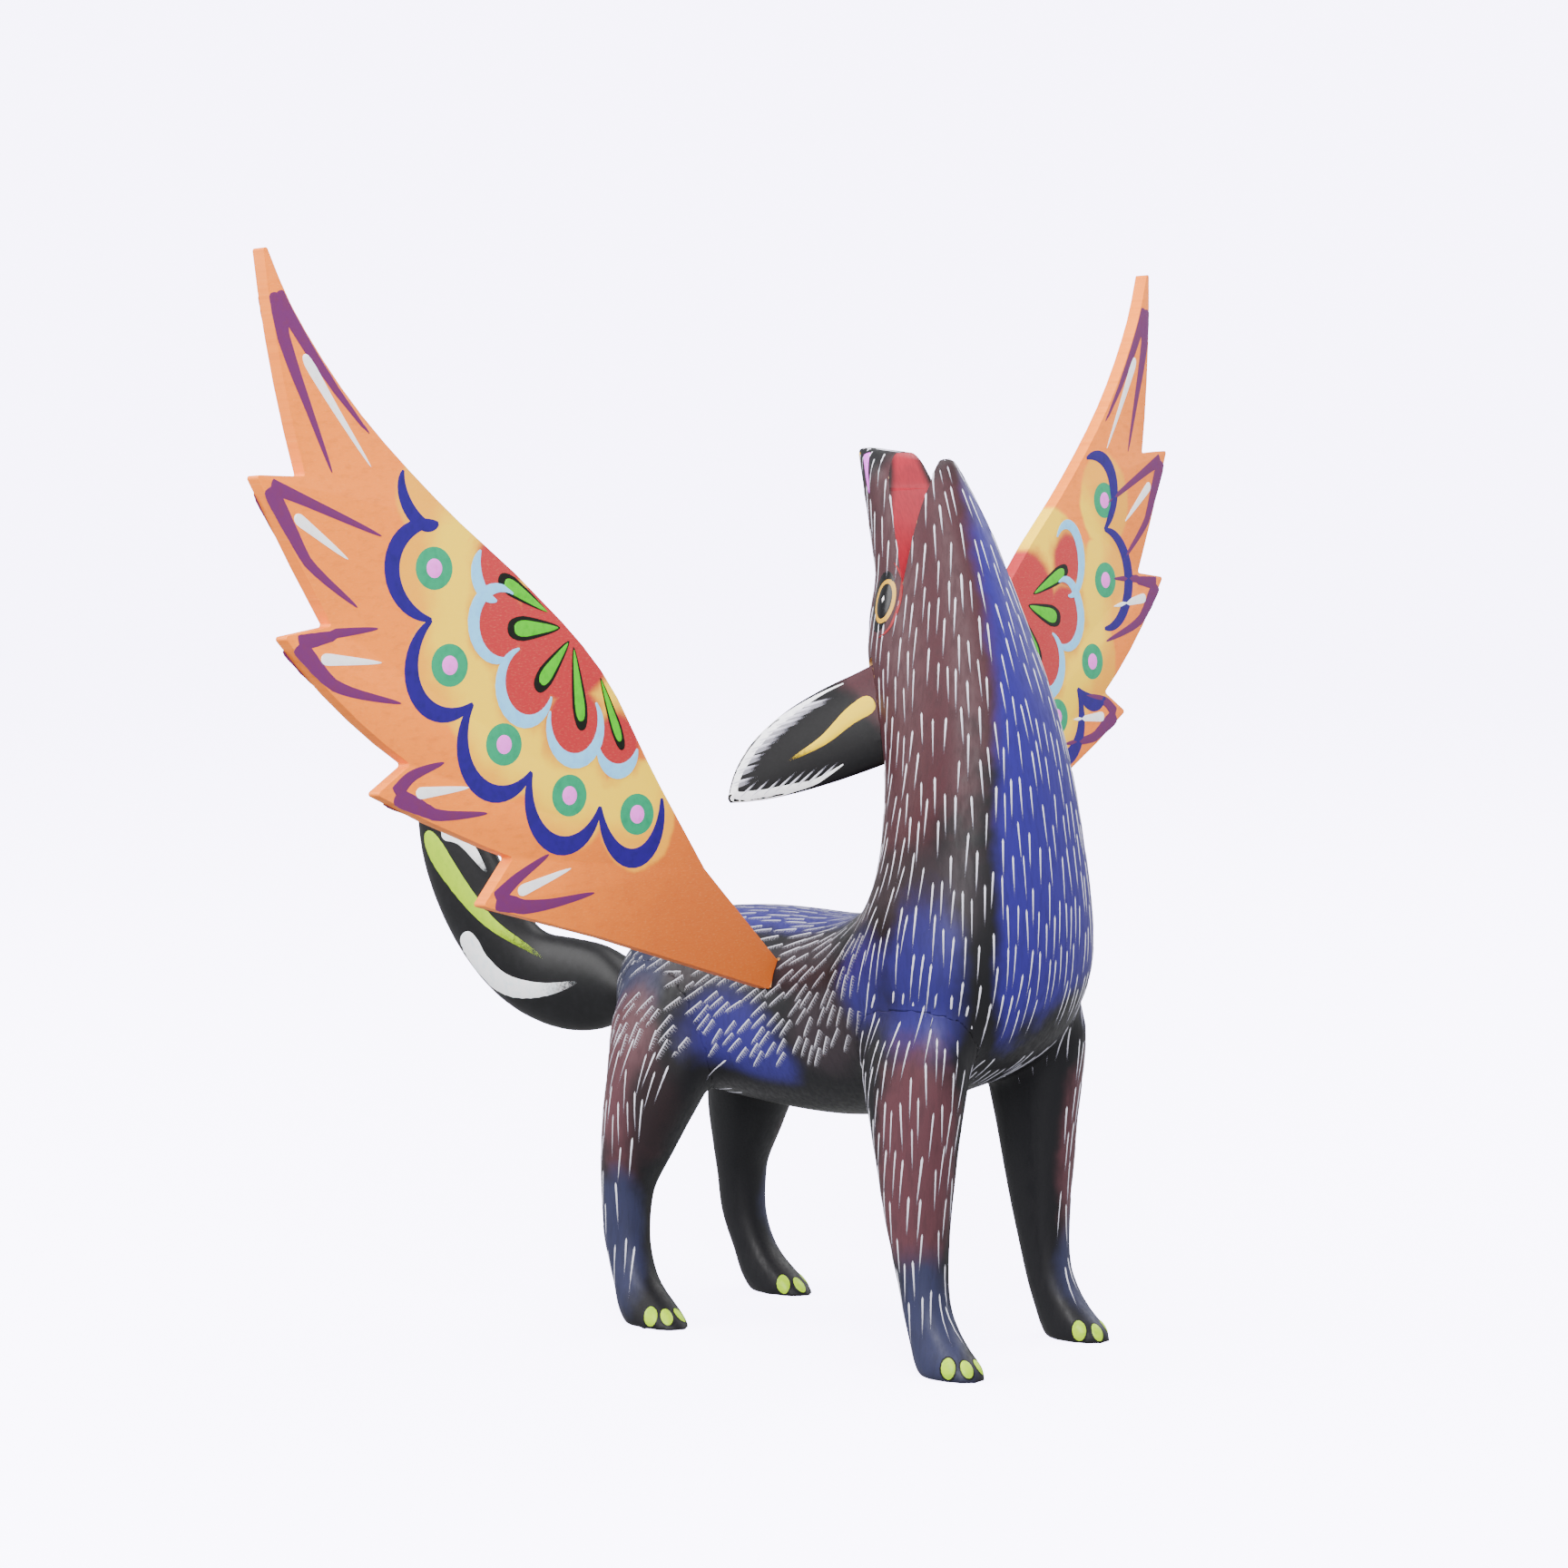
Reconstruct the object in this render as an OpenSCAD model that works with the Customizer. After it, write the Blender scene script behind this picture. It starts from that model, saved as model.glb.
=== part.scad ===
// Winged howling coyote, a painted figure carved in copal wood.
// The trunk is one block. Four legs are glued to it on dowels. The wings, ears and tail push in
// on pegs and pull out again. Lengths are millimetres, +X is the way the animal faces, +Z is up.

/* [Body] */
// Distance along the floor from the hind heels to the front heels
stance_l = 87; // [72:1:105]
// Height of the belly above the floor
belly_h = 52; // [43:0.5:63]
// Height of the back above the floor
back_h = 98; // [82:0.5:118]
// Height of the sawn end of the snout
snout_h = 206; // [171:1:248]
// Width across the shoulders
body_w = 60; // [50:1:72]
// Distance between the middles of a left and a right sole
track_w = 49; // [41:1:59]

/* [Mouth] */
// Depth of the saw cut that opens the mouth
mouth_d = 30; // [22:1:36]
// Gap between the jaws at the end of the snout
mouth_gap = 12.5; // [10:0.5:15]

/* [Legs] */
// Thickness of a leg, front to back, above the paw
ankle_l = 11.2; // [9:0.1:13.5]
// Length of a front sole
front_sole_l = 16.6; // [13.5:0.1:20]
// Length of a hind sole
hind_sole_l = 17.4; // [14.5:0.1:21]
// Width of a sole
sole_w = 11.4; // [9.5:0.1:13.6]
// Diameter of a leg's glued dowel
dowel_d = 5; // [4:0.1:6]
// Length of a leg's glued dowel
dowel_l = 17; // [14:0.5:20]

/* [Wings] */
// Reach of a wing from its seat to its longest feather
wing_reach = 149.4; // [124:0.2:179]
// Rise of a wing from its seat to its highest feather
wing_rise = 165; // [137:1:198]
// Thickness of a wing blade
wing_t = 3.4; // [2.9:0.1:4.1]
// Width of a wing's root end
wing_root_w = 7; // [6.4:0.1:8.4]
// Diameter of a wing peg
wing_peg_d = 1.8; // [1.5:0.05:2.15]
// Distance between the two pegs of a wing
wing_peg_gap = 3.4; // [3:0.1:4.1]
// Depth of a wing peg in the flank, and in the blade
wing_peg_depth = 9; // [7.5:0.5:11]

/* [Ears] */
// Length of an ear
ear_l = 39; // [32:0.5:47]
// Width of an ear
ear_w = 21; // [17:0.5:25]
// Thickness of an ear
ear_t = 4.6; // [4.2:0.1:5.6]
// Diameter of an ear peg
ear_peg_d = 2.2; // [1.8:0.1:2.6]
// Depth of an ear peg in the head, and in the ear
ear_peg_depth = 8; // [6.5:0.5:9.5]

/* [Tail] */
// Length of the tail along its curve
tail_l = 108; // [90:1:128]
// Width of the tail at its middle
tail_w = 25; // [20:0.5:30]
// Thickness of the tail at its middle
tail_t = 9; // [7.5:0.1:11]
// Diameter of the tail peg
tail_peg_d = 5; // [4:0.1:6]
// Depth of the tail peg in the rump, and in the tail
tail_peg_depth = 12; // [10:0.5:14.5]

/* [Fits] */
// Clearance all round a peg in its hole
peg_play = 0.05; // [0.02:0.01:0.08]
// Clearance all round a glued dowel, and the room left at a hole's end
glue_gap = 0.1; // [0.05:0.05:0.2]
// Depth of the flat seats that are cut for the wings and the tail
seat_depth = 0.8; // [0.6:0.1:1.2]
// Room round a wing or the tail in its seat
seat_play = 0.4; // [0.3:0.05:0.6]

/* [Hidden] */

left = 1;
right = -1;
round_fn = 48;

// ---- Curves and skins ------------------------------------------------------------------------

// A smooth curve through the rows of a table. u counts rows, and may fall between two of them.
function spline(a, b, c, d, t) =
    b + (c - a) * t / 2 + (2 * a - 5 * b + 4 * c - d) * t * t / 2 + (3 * b - a - 3 * c + d) * pow(t, 3) / 2;
function row(table, u) =
    let (last = len(table) - 1, i = max(0, min(floor(u), last - 1)))
    spline(table[max(i - 1, 0)], table[i], table[i + 1], table[min(i + 2, last)], u - i);

// A cosine or sine whose circle is filled out towards its corners
fullness = 0.9;
function full(c) = sign(c) * pow(abs(c), fullness);

// Closed skin over rings of points. The rings turn right-handed about the way they run.
module skin(rings) {
    n = len(rings[0]);
    m = len(rings);
    sides = [for (i = [0:m - 2], j = [0:n - 1])
        [i * n + j, (i + 1) * n + j, (i + 1) * n + (j + 1) % n, i * n + (j + 1) % n]];
    ends = [[for (j = [0:n - 1]) j], [for (j = [n - 1:-1:0]) (m - 1) * n + j]];
    polyhedron(points = [for (r = rings) each r], faces = concat(sides, ends), convexity = 6);
}

// ---- Sizes that the shapes are drawn for -----------------------------------------------------

// The tables below are drawn for these sizes, and follow the driving sizes from them.
drawn_stance = 87;
drawn_belly = 52;
drawn_back = 98;
drawn_snout = 206;
drawn_body_w = 60;
drawn_track = 49;

function along(x) = x * stance_l / drawn_stance;
function up(z) = lookup(z, [[0, 0], [drawn_belly, belly_h], [drawn_back, back_h], [drawn_snout, snout_h],
                          [2 * drawn_snout, snout_h + drawn_snout]]);
function across(y) = y * body_w / drawn_body_w;

// ---- Trunk -----------------------------------------------------------------------------------

// Each row: back line x and z, belly and throat line x and z, half width
trunk_rows = [
    [-61, 77, -60, 71, 4],
    [-58, 86, -57, 63, 12],
    [-50, 93, -48, 57, 18],
    [-38, 97, -36, 54.5, 21],
    [-22, 98.8, -18, 52.5, 22.8],
    [-8, 98.8, 2, 51.5, 24],
    [1, 98.4, 18, 53, 25.6],
    [8, 99, 32, 58, 27.5],
    [13, 100.8, 45, 63.5, 29.5],
    [17.2, 103.5, 56.5, 72, 31],
    [20, 108, 62.6, 86, 30.8],
    [21.4, 115, 63.6, 101, 28],
    [21.6, 124, 62.2, 117, 25.5],
    [20.6, 135, 60, 134, 22.5],
    [17, 147.5, 56.6, 149, 19.8],
    [13.4, 159, 52.5, 161, 17.3],
    [13.2, 170, 48.4, 171.5, 14.7],
    [14.4, 179, 44.8, 180, 12.6],
    [12.2, 190, 40.2, 190.3, 10.5],
    [9.1, 200.4, 35, 199, 8.2],
    [7.3, 204.8, 33.6, 202.4, 6],
    [6.2, 207, 32.9, 204.2, 3.6]];
trunk_rings = 46;
trunk_points = 28;

// A point of the trunk's surface: u counts rows from the rump, a is 0 at the back line
function trunk_point(u, a) =
    let (r = row(trunk_rows, u),
         back = [along(r[0]), 0, up(r[1])],
         belly = [along(r[2]), 0, up(r[3])])
    (back + belly) / 2 + (back - belly) / 2 * full(cos(a)) + [0, across(r[4]) * full(sin(a)), 0];

function trunk_ring(u) = [for (j = [0:trunk_points - 1]) trunk_point(u, -360 * j / trunk_points)];
trunk_skin = [for (i = [0:trunk_rings]) trunk_ring(i * (len(trunk_rows) - 1) / trunk_rings)];

// The mouth is a tapering saw cut between the jaws
mouth_x = 28.4;
palate_x = 18;
module mouth_cut() {
    bottom = snout_h - mouth_d;
    bend = snout_h - mouth_d / 4;
    top = snout_h + 1;
    jaw_x = palate_x + mouth_gap;
    rotate([90, 0, 0])
        linear_extrude(body_w, center = true)
            polygon([[along(mouth_x), bottom],
                     [along(jaw_x + 0.5), bend],
                     [along(jaw_x), top],
                     [along(palate_x - 0.3), top],
                     [along(palate_x + 3), bend]]);
}

module trunk() {
    color("#3d2b45")
        difference() {
            skin(trunk_skin);
            mouth_cut();
            for (side = [left, right]) {
                in_wing_seat(side) wing_seat();
                ear_seat(side);
                in_front_joint(side) dowel_hole();
                in_hind_joint(side) dowel_hole();
            }
            in_tail_seat() tail_seat();
        }
}

// ---- Legs ------------------------------------------------------------------------------------

// Each row: height, middle x, half length, middle y, half width. Rows below paw_top are the paw,
// whose half length and half width follow the sole.
drawn_ankle = 11.2;
drawn_sole_w = 11.4;
paw_top = 8;
front_heel_x = 43.3;
front_rows = [
    [0, 51.6, 8.3, 25.2, 5.7],
    [3.5, 49.8, 8.2, 25, 5.8],
    [6, 48, 7, 24.8, 5.7],
    [12.4, 44.6, 5.6, 24.4, 5.5],
    [20, 42.8, 5.6, 24.2, 5.8],
    [32, 41.4, 7, 24.1, 7.1],
    [43, 40.8, 8.6, 24, 8.3],
    [51, 40.4, 9.8, 23.8, 8.9],
    [63, 39.9, 12.2, 23.4, 9.6],
    [74, 39.5, 14, 22.4, 9.8],
    [84, 38.5, 12.5, 20, 9.4],
    [92, 37, 7, 18, 6]];
hind_heel_x = -43.3;
hind_rows = [
    [0, -34.6, 8.7, 24, 5.7],
    [4, -37.8, 8.2, 23.6, 5.7],
    [10, -42, 5.4, 23, 5.3],
    [19, -45.3, 5.3, 22.3, 5.5],
    [28, -45.6, 5.7, 22, 6.2],
    [32.6, -45.3, 6.4, 21.6, 6.8],
    [38.6, -43.8, 8.3, 21, 7.8],
    [47, -41.7, 10.6, 20, 9.2],
    [60, -37.6, 14, 18.8, 10],
    [72, -37, 15.5, 16.5, 9.5],
    [82, -37, 13.5, 13.5, 8],
    [90, -38, 7.5, 9.5, 4]];
drawn_front_sole = 16.6;
drawn_hind_sole = 17.4;
leg_rings = 22;
leg_points = 20;

// The paw grows forwards from its heel, the leg grows about its middle.
function leg_ring(r, heel_x, sole_k) =
    let (paw = r[0] < paw_top,
         thick_k = paw ? sole_k : ankle_l / drawn_ankle,
         wide_k = paw ? sole_w / drawn_sole_w : ankle_l / drawn_ankle,
         middle_x = along(heel_x) + (r[1] - heel_x) * (paw ? sole_k : 1),
         middle_y = r[3] * (track_w / drawn_track + (body_w / drawn_body_w - track_w / drawn_track)
                            * min(1, r[0] / drawn_belly)))
    [for (j = [0:leg_points - 1]) let (a = 360 * j / leg_points)
        [middle_x + r[2] * thick_k * full(cos(a)), middle_y + r[4] * wide_k * full(sin(a)), up(r[0])]];

module leg_skin(rows, heel_x, sole_k) {
    skin([for (i = [0:leg_rings])
        leg_ring(row(rows, i * (len(rows) - 1) / leg_rings), heel_x, sole_k)]);
}

// The leg's upper end is hollowed to fit the trunk's surface.
module leg_blank(rows, heel_x, sole_k) {
    resize([0, 0, 0])
        difference() {
            leg_skin(rows, heel_x, sole_k);
            skin(trunk_skin);
        }
}

module leg_front(side) {
    color("#6b3038")
        difference() {
            mirror([0, side == right ? 1 : 0, 0])
                leg_blank(front_rows, front_heel_x, front_sole_l / drawn_front_sole);
            in_front_joint(side) dowel_hole();
        }
}

module leg_hind(side) {
    color("#4b2c3a")
        difference() {
            mirror([0, side == right ? 1 : 0, 0])
                leg_blank(hind_rows, hind_heel_x, hind_sole_l / drawn_hind_sole);
            in_hind_joint(side) dowel_hole();
        }
}

// ---- Leg dowels ------------------------------------------------------------------------------

// Middle of a dowel, on the face between leg and trunk, and its lean towards the body's middle
front_joint = [38.5, 21.5, 66];
hind_joint = [-37.5, 17, 66];
dowel_lean = 14;

module in_front_joint(side) {
    mirror([0, side == right ? 1 : 0, 0])
        translate([along(front_joint[0]), across(front_joint[1]), up(front_joint[2])])
            rotate([dowel_lean, 0, 0]) children();
}

module in_hind_joint(side) {
    mirror([0, side == right ? 1 : 0, 0])
        translate([along(hind_joint[0]), across(hind_joint[1]), up(hind_joint[2])])
            rotate([dowel_lean, 0, 0]) children();
}

module dowel() {
    color("#c9a26b") cylinder(h = dowel_l, d = dowel_d, center = true, $fn = round_fn);
}

module dowel_hole() {
    cylinder(h = dowel_l + 2 * glue_gap, d = dowel_d + 2 * glue_gap, center = true, $fn = round_fn);
}

// ---- Wings -----------------------------------------------------------------------------------

// A wing is drawn flat: u runs outwards from the seat and v upwards, both in millimetres.
drawn_reach = 149.4;
drawn_rise = 165;
function blade(u, v) = [u * wing_reach / drawn_reach, v * wing_rise / drawn_rise];

// A bowed edge from a to b, without its ends; bow is how far its middle stands to the right
bow_steps = 5;
function bowed(a, b, bow) =
    let (d = b - a, off = [d[1], -d[0]] / norm(d) * bow)
    [for (i = [1:bow_steps - 1]) let (t = i / bow_steps) a + d * t + off * 4 * t * (1 - t)];

// Each row: feather tip u and v, bow of the edge that leads to it, notch above it u and v
feather_rows = [
    [91.6, 24.3, -0.8, 81.8, 34],
    [120.8, 50.4, 0.6, 110.6, 56],
    [144.2, 84.4, 1.6, 130.8, 86],
    [149.4, 117.6, 0.3, 136, 117],
    [144.4, 165, 1.2, 0, 0]];
// The leading edge from the longest feather down to the root
leading_rows = [
    [143.7, 164.8], [136, 149.8], [120.2, 130.2], [97.6, 110.2], [72, 91.2],
    [51.2, 72], [36.4, 48.4], [21.6, 26.4]];
leading_steps = 24;
tip_round = 0.6;

function root_corner(k) = [-sin(wing_peg_tilt), cos(wing_peg_tilt)] * k * wing_root_w / 2;
function feather(i) =
    let (f = feather_rows[i],
         from = i == 0 ? root_corner(-1) : blade(feather_rows[i - 1][3], feather_rows[i - 1][4]),
         tip = blade(f[0], f[1]))
    concat([from], bowed(from, tip, f[2]), [tip]);
leading_edge = [for (i = [0:leading_steps])
    let (p = row(leading_rows, i * (len(leading_rows) - 1) / leading_steps)) blade(p[0], p[1])];

module blade_outline() {
    offset(r = -tip_round, $fn = 24)
        offset(r = 2 * tip_round, $fn = 24)
            offset(r = -tip_round, $fn = 24)
                polygon(concat([for (i = [0:len(feather_rows) - 1]) each feather(i)],
                               leading_edge, [root_corner(1)]));
}

// Where the wing sits on the flank, and how its blade and pegs lie
wing_seat_u = 5.14;
wing_seat_a = 64.7;
wing_peg_tilt = 32;
wing_sweep = 3.9;
wing_lean = 3.6;

module in_blade(side) {
    mirror([0, side == right ? 1 : 0, 0])
        translate(trunk_point(wing_seat_u, wing_seat_a))
            rotate([0, -wing_lean, wing_sweep])
                translate([0, -seat_depth * cos(wing_peg_tilt), -seat_depth * sin(wing_peg_tilt)])
                    children();
}

// Along the pegs: +Z runs out of the flank
module in_wing_seat(side) {
    in_blade(side) rotate([wing_peg_tilt - 90, 0, 0]) children();
}

module at_wing_pegs() {
    for (k = [-1, 1]) translate([0, k * wing_peg_gap / 2, 0]) children();
}

module wing_seat() {
    linear_extrude(body_w / 4)
        square([wing_t + 2 * seat_play, wing_root_w + 2 * seat_play], center = true);
    at_wing_pegs() peg_hole(wing_peg_d, wing_peg_depth);
}

module wing(side) {
    color("#e8945c")
        difference() {
            in_blade(side)
                rotate([90, 0, 90]) linear_extrude(wing_t, center = true) blade_outline();
            in_wing_seat(side) at_wing_pegs() peg_hole(wing_peg_d, wing_peg_depth);
        }
}

module wing_peg(side, k) {
    in_wing_seat(side)
        translate([0, k * wing_peg_gap / 2, 0]) peg(wing_peg_d, wing_peg_depth);
}

// ---- Pegs ------------------------------------------------------------------------------------

// A peg stands half in one piece and half in the other, and its hole reaches a little further.
module peg(d, depth) {
    color("#d8b98a") cylinder(h = 2 * depth, d = d, center = true, $fn = round_fn);
}

module peg_hole(d, depth) {
    cylinder(h = 2 * (depth + glue_gap), d = d + 2 * peg_play, center = true, $fn = round_fn);
}

// ---- Ears ------------------------------------------------------------------------------------

// Where an ear leaves the head, and the directions of its length and of its root's end
ear_seat_u = 13.9;
ear_seat_a = 41;
ear_out = [-0.71, 0.48, -0.5];
ear_up = [-0.53, 0.14, 0.83];
ear_root_turn = 21;

// Half width and middle offset along the ear, in shares of its length and width
ear_rows = [
    [-0.2, 0.50, 0, 1],
    [0, 0.52, 0, 1],
    [0.2, 0.51, 0.04, 0.98],
    [0.45, 0.46, 0.08, 0.85],
    [0.7, 0.35, 0.09, 0.66],
    [0.88, 0.2, 0.06, 0.48],
    [1, 0.03, 0, 0.3]];
ear_rings = 16;
ear_points = 18;
ear_cup = 0.6;

function unit(v) = v / norm(v);
module in_ear(side) {
    x = unit(ear_out);
    z = unit(cross(ear_out, ear_up));
    y = cross(z, x);
    o = trunk_point(ear_seat_u, ear_seat_a);
    mirror([0, side == right ? 1 : 0, 0])
        multmatrix([[x[0], y[0], z[0], o[0]], [x[1], y[1], z[1], o[1]], [x[2], y[2], z[2], o[2]]])
            children();
}

module in_ear_seat(side) {
    in_ear(side) rotate([0, 0, ear_root_turn]) translate([-seat_depth, 0, 0]) children();
}

module at_ear_peg() {
    rotate([0, 0, -ear_root_turn]) rotate([0, 90, 0]) children();
}

// The slot's floor is square to the ear's root, and its walls run the way the ear pulls out.
ear_slot_half = 0.55 * ear_w + seat_play;
function ear_floor_x(y) = (-seat_depth - y * sin(ear_root_turn)) / cos(ear_root_turn);
module ear_seat(side) {
    in_ear(side)
        linear_extrude(ear_t + 2 * seat_play, center = true)
            polygon([[ear_floor_x(ear_slot_half), ear_slot_half],
                     [ear_floor_x(-ear_slot_half), -ear_slot_half],
                     [ear_l, -ear_slot_half],
                     [ear_l, ear_slot_half]]);
    in_ear_seat(side) at_ear_peg() peg_hole(ear_peg_d, ear_peg_depth);
}

function ear_ring(r) =
    [for (j = [0:ear_points - 1]) let (a = 360 * j / ear_points)
        [r[0] * ear_l,
         ear_w * (r[2] + r[1] * cos(a)),
         ear_t / 2 * r[3] * full(sin(a)) - ear_cup * pow(cos(a), 2) * (1 - r[0])]];

module ear(side) {
    color("#1d1a1e")
        difference() {
            in_ear(side)
                skin([for (i = [0:ear_rings]) ear_ring(row(ear_rows, i * (len(ear_rows) - 1) / ear_rings))]);
            in_ear_seat(side) translate([-2 * ear_w, -ear_w, -ear_w]) cube(2 * ear_w);
            in_ear_seat(side) at_ear_peg() peg_hole(ear_peg_d, ear_peg_depth);
        }
}

module ear_peg(side) {
    in_ear_seat(side) at_ear_peg() peg(ear_peg_d, ear_peg_depth);
}

// ---- Tail ------------------------------------------------------------------------------------

// Each row: middle x and z behind the seat, half width across the curve, half thickness
tail_rows = [
    [0, 0, 6.5, 5.8],
    [-1.6, 0, 6.5, 5.7],
    [-5.5, 0.5, 8.2, 5.6],
    [-12, 0.8, 10.6, 5],
    [-22, 0.5, 11.7, 4.7],
    [-32.5, 1.8, 11.2, 4.5],
    [-41.6, 6.4, 11.3, 4.5],
    [-49.3, 14.6, 12, 4.4],
    [-55.7, 23.9, 11.8, 4.2],
    [-60.9, 34.3, 10.7, 3.8],
    [-65.2, 45, 7.4, 3],
    [-68.4, 55, 4.2, 2.2],
    [-71, 63, 0.8, 1]];
drawn_tail_l = 108;
drawn_tail_w = 25;
drawn_tail_t = 9;
tail_rings = 26;
tail_points = 20;
tail_root_d = 13;

function tail_mid(r) = [r[0], r[1]] * tail_l / drawn_tail_l;
function tail_ring(u) =
    let (r = row(tail_rows, u),
         last = len(tail_rows) - 1,
         ahead = tail_mid(row(tail_rows, min(u + 0.1, last))) - tail_mid(row(tail_rows, max(u - 0.1, 0))),
         run = u <= 1 ? [-1, 0] : unit(ahead),
         grown = min(1, u),
         w = r[2] * (1 + (tail_w / drawn_tail_w - 1) * grown),
         t = r[3] * (1 + (tail_t / drawn_tail_t - 1) * grown),
         m = tail_mid(r))
    [for (j = [0:tail_points - 1]) let (a = 360 * j / tail_points, across_run = w * cos(a))
        [m[0] - run[1] * across_run, -t * sin(a), m[1] + run[0] * across_run]];

tail_skin = [for (i = [0:tail_rings]) tail_ring(i * (len(tail_rows) - 1) / tail_rings)];
tail_root_x = (trunk_point(0, 0)[0] + trunk_point(0, 180)[0]) / 2 + seat_depth;
module in_tail_seat() {
    translate([tail_root_x, 0, (trunk_point(0, 0)[2] + trunk_point(0, 180)[2]) / 2]) children();
}

module tail_seat() {
    rotate([0, -90, 0]) cylinder(h = stance_l / 4, d = tail_root_d + 2 * seat_play, $fn = round_fn);
    rotate([0, -90, 0]) peg_hole(tail_peg_d, tail_peg_depth);
}

module tail() {
    color("#222026")
        difference() {
            in_tail_seat()
                skin(tail_skin);
            in_tail_seat() rotate([0, -90, 0]) peg_hole(tail_peg_d, tail_peg_depth);
        }
}

module tail_peg() {
    in_tail_seat() rotate([0, -90, 0]) peg(tail_peg_d, tail_peg_depth);
}

// ---- The whole figure ------------------------------------------------------------------------

// X is zero at the middle of the whole length, between the tail's curve and the chest.
front_x = max([for (r = trunk_skin, p = r) p[0]]);
rear_x = tail_root_x + min([for (r = tail_skin, p = r) p[0]]);
mid_x = (front_x + rear_x) / 2;
module placed() {
    translate([-mid_x, 0, 0]) children();
}

placed() trunk();
placed() leg_front(left);  // leg_front_left
placed() leg_front(right);  // leg_front_right
placed() leg_hind(left);  // leg_hind_left
placed() leg_hind(right);  // leg_hind_right
placed() in_front_joint(left) dowel();  // dowel_front_left
placed() in_front_joint(right) dowel();  // dowel_front_right
placed() in_hind_joint(left) dowel();  // dowel_hind_left
placed() in_hind_joint(right) dowel();  // dowel_hind_right
placed() wing(left);  // wing_left
placed() wing(right);  // wing_right
placed() wing_peg(left, 1);  // wing_peg_upper_left
placed() wing_peg(left, -1);  // wing_peg_lower_left
placed() wing_peg(right, 1);  // wing_peg_upper_right
placed() wing_peg(right, -1);  // wing_peg_lower_right
placed() ear(left);  // ear_left
placed() ear(right);  // ear_right
placed() ear_peg(left);  // ear_peg_left
placed() ear_peg(right);  // ear_peg_right
placed() tail();
placed() tail_peg();
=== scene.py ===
import functools
import itertools
import math
import random

import bmesh
import bpy
from bpy.props import FloatProperty, FloatVectorProperty, IntProperty, PointerProperty
from mathutils import Matrix, Vector
from mathutils.bvhtree import BVHTree


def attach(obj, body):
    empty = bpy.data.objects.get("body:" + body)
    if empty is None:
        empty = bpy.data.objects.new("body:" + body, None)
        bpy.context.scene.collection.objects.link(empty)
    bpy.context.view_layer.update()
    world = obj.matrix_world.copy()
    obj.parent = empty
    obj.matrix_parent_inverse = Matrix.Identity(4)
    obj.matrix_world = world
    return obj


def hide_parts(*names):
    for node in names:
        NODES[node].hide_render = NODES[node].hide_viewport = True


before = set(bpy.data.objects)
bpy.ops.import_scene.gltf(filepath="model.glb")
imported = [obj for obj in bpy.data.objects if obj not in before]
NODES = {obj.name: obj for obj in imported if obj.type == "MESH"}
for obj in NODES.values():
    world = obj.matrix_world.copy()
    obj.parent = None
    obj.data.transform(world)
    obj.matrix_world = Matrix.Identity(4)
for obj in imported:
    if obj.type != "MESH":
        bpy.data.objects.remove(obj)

bl_info = {
    "name": "Winged howling coyote",
    "version": (1, 0, 0),
    "blender": (4, 5, 0),
    "location": "3D View > Sidebar > Coyote",
    "description": "Carved and painted copal-wood coyote with plug-in wings, ears and tail",
    "category": "Add Mesh",
}

MM = 0.001
LEFT, RIGHT = 1, -1
SIDES = {"left": LEFT, "right": RIGHT}
LEGS = ["leg_front_left", "leg_front_right", "leg_hind_left", "leg_hind_right"]
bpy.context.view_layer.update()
Z_AXIS = Vector((0, 0, 1))


def rgba(colour):
    return (*tuple(colour)[:3], 1.0)


def side_of(name):
    return SIDES[name.split("_")[-1]]


# ---- Where the plug-in pieces sit, in millimetres, on the left side ---------------------------

FLANK_SEAT = Vector((30.736, 22.101, 86.135))
WING_SWEEP, WING_LEAN, WING_PEG_TILT = (math.radians(a) for a in (3.9, 3.6, 32))
SEAT_DEPTH = 0.8
WING_T = 3.4
EAR_SEAT = Vector((56.07, 13.7275, 146.434))
EAR_OUT = Vector((-0.71, 0.48, -0.5)).normalized()
EAR_UP = Vector((-0.53, 0.14, 0.83))
EAR_TURN = math.radians(21)
TAIL_SEAT = Vector((-25.42, 0, 74))
FRONT_JOINT = Vector((72.78, 21.5, 66))
HIND_JOINT = Vector((-3.22, 17, 66))
DOWEL_LEAN = math.radians(14)


def blade_matrix():
    """Left wing's own frame: X is the thickness, Y runs outwards and Z upwards."""
    inwards = Vector((0, -math.cos(WING_PEG_TILT), -math.sin(WING_PEG_TILT))) * SEAT_DEPTH
    turn = Matrix.Rotation(WING_SWEEP, 4, "Z") @ Matrix.Rotation(-WING_LEAN, 4, "Y")
    return Matrix.Translation(FLANK_SEAT) @ turn @ Matrix.Translation(inwards)


def ear_matrix():
    """Left ear's own frame: X runs to its tip, Z out of its painted face."""
    z = EAR_OUT.cross(EAR_UP).normalized()
    axes = Matrix((EAR_OUT, z.cross(EAR_OUT), z)).transposed().to_4x4()
    return Matrix.Translation(EAR_SEAT) @ axes


def on_side(matrix, side):
    """The same frame on the right, mirrored across the middle plane."""
    return matrix if side == LEFT else Matrix.Scale(-1, 4, (0, 1, 0)) @ matrix


def dowel_matrix(at, side):
    """Frame of a leg's dowel, which runs along Z."""
    return on_side(Matrix.Translation(at) @ Matrix.Rotation(DOWEL_LEAN, 4, "X"), side)


# ---- Meshes ----------------------------------------------------------------------------------

def copy_of(name):
    """The CAD node's shape with its loose triangles merged, in millimetres."""
    bm = bmesh.new()
    bm.from_mesh(NODES[name].data)
    bmesh.ops.scale(bm, vec=(1 / MM,) * 3, verts=bm.verts)
    bmesh.ops.remove_doubles(bm, verts=bm.verts, dist=0.002)
    return bm


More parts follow.
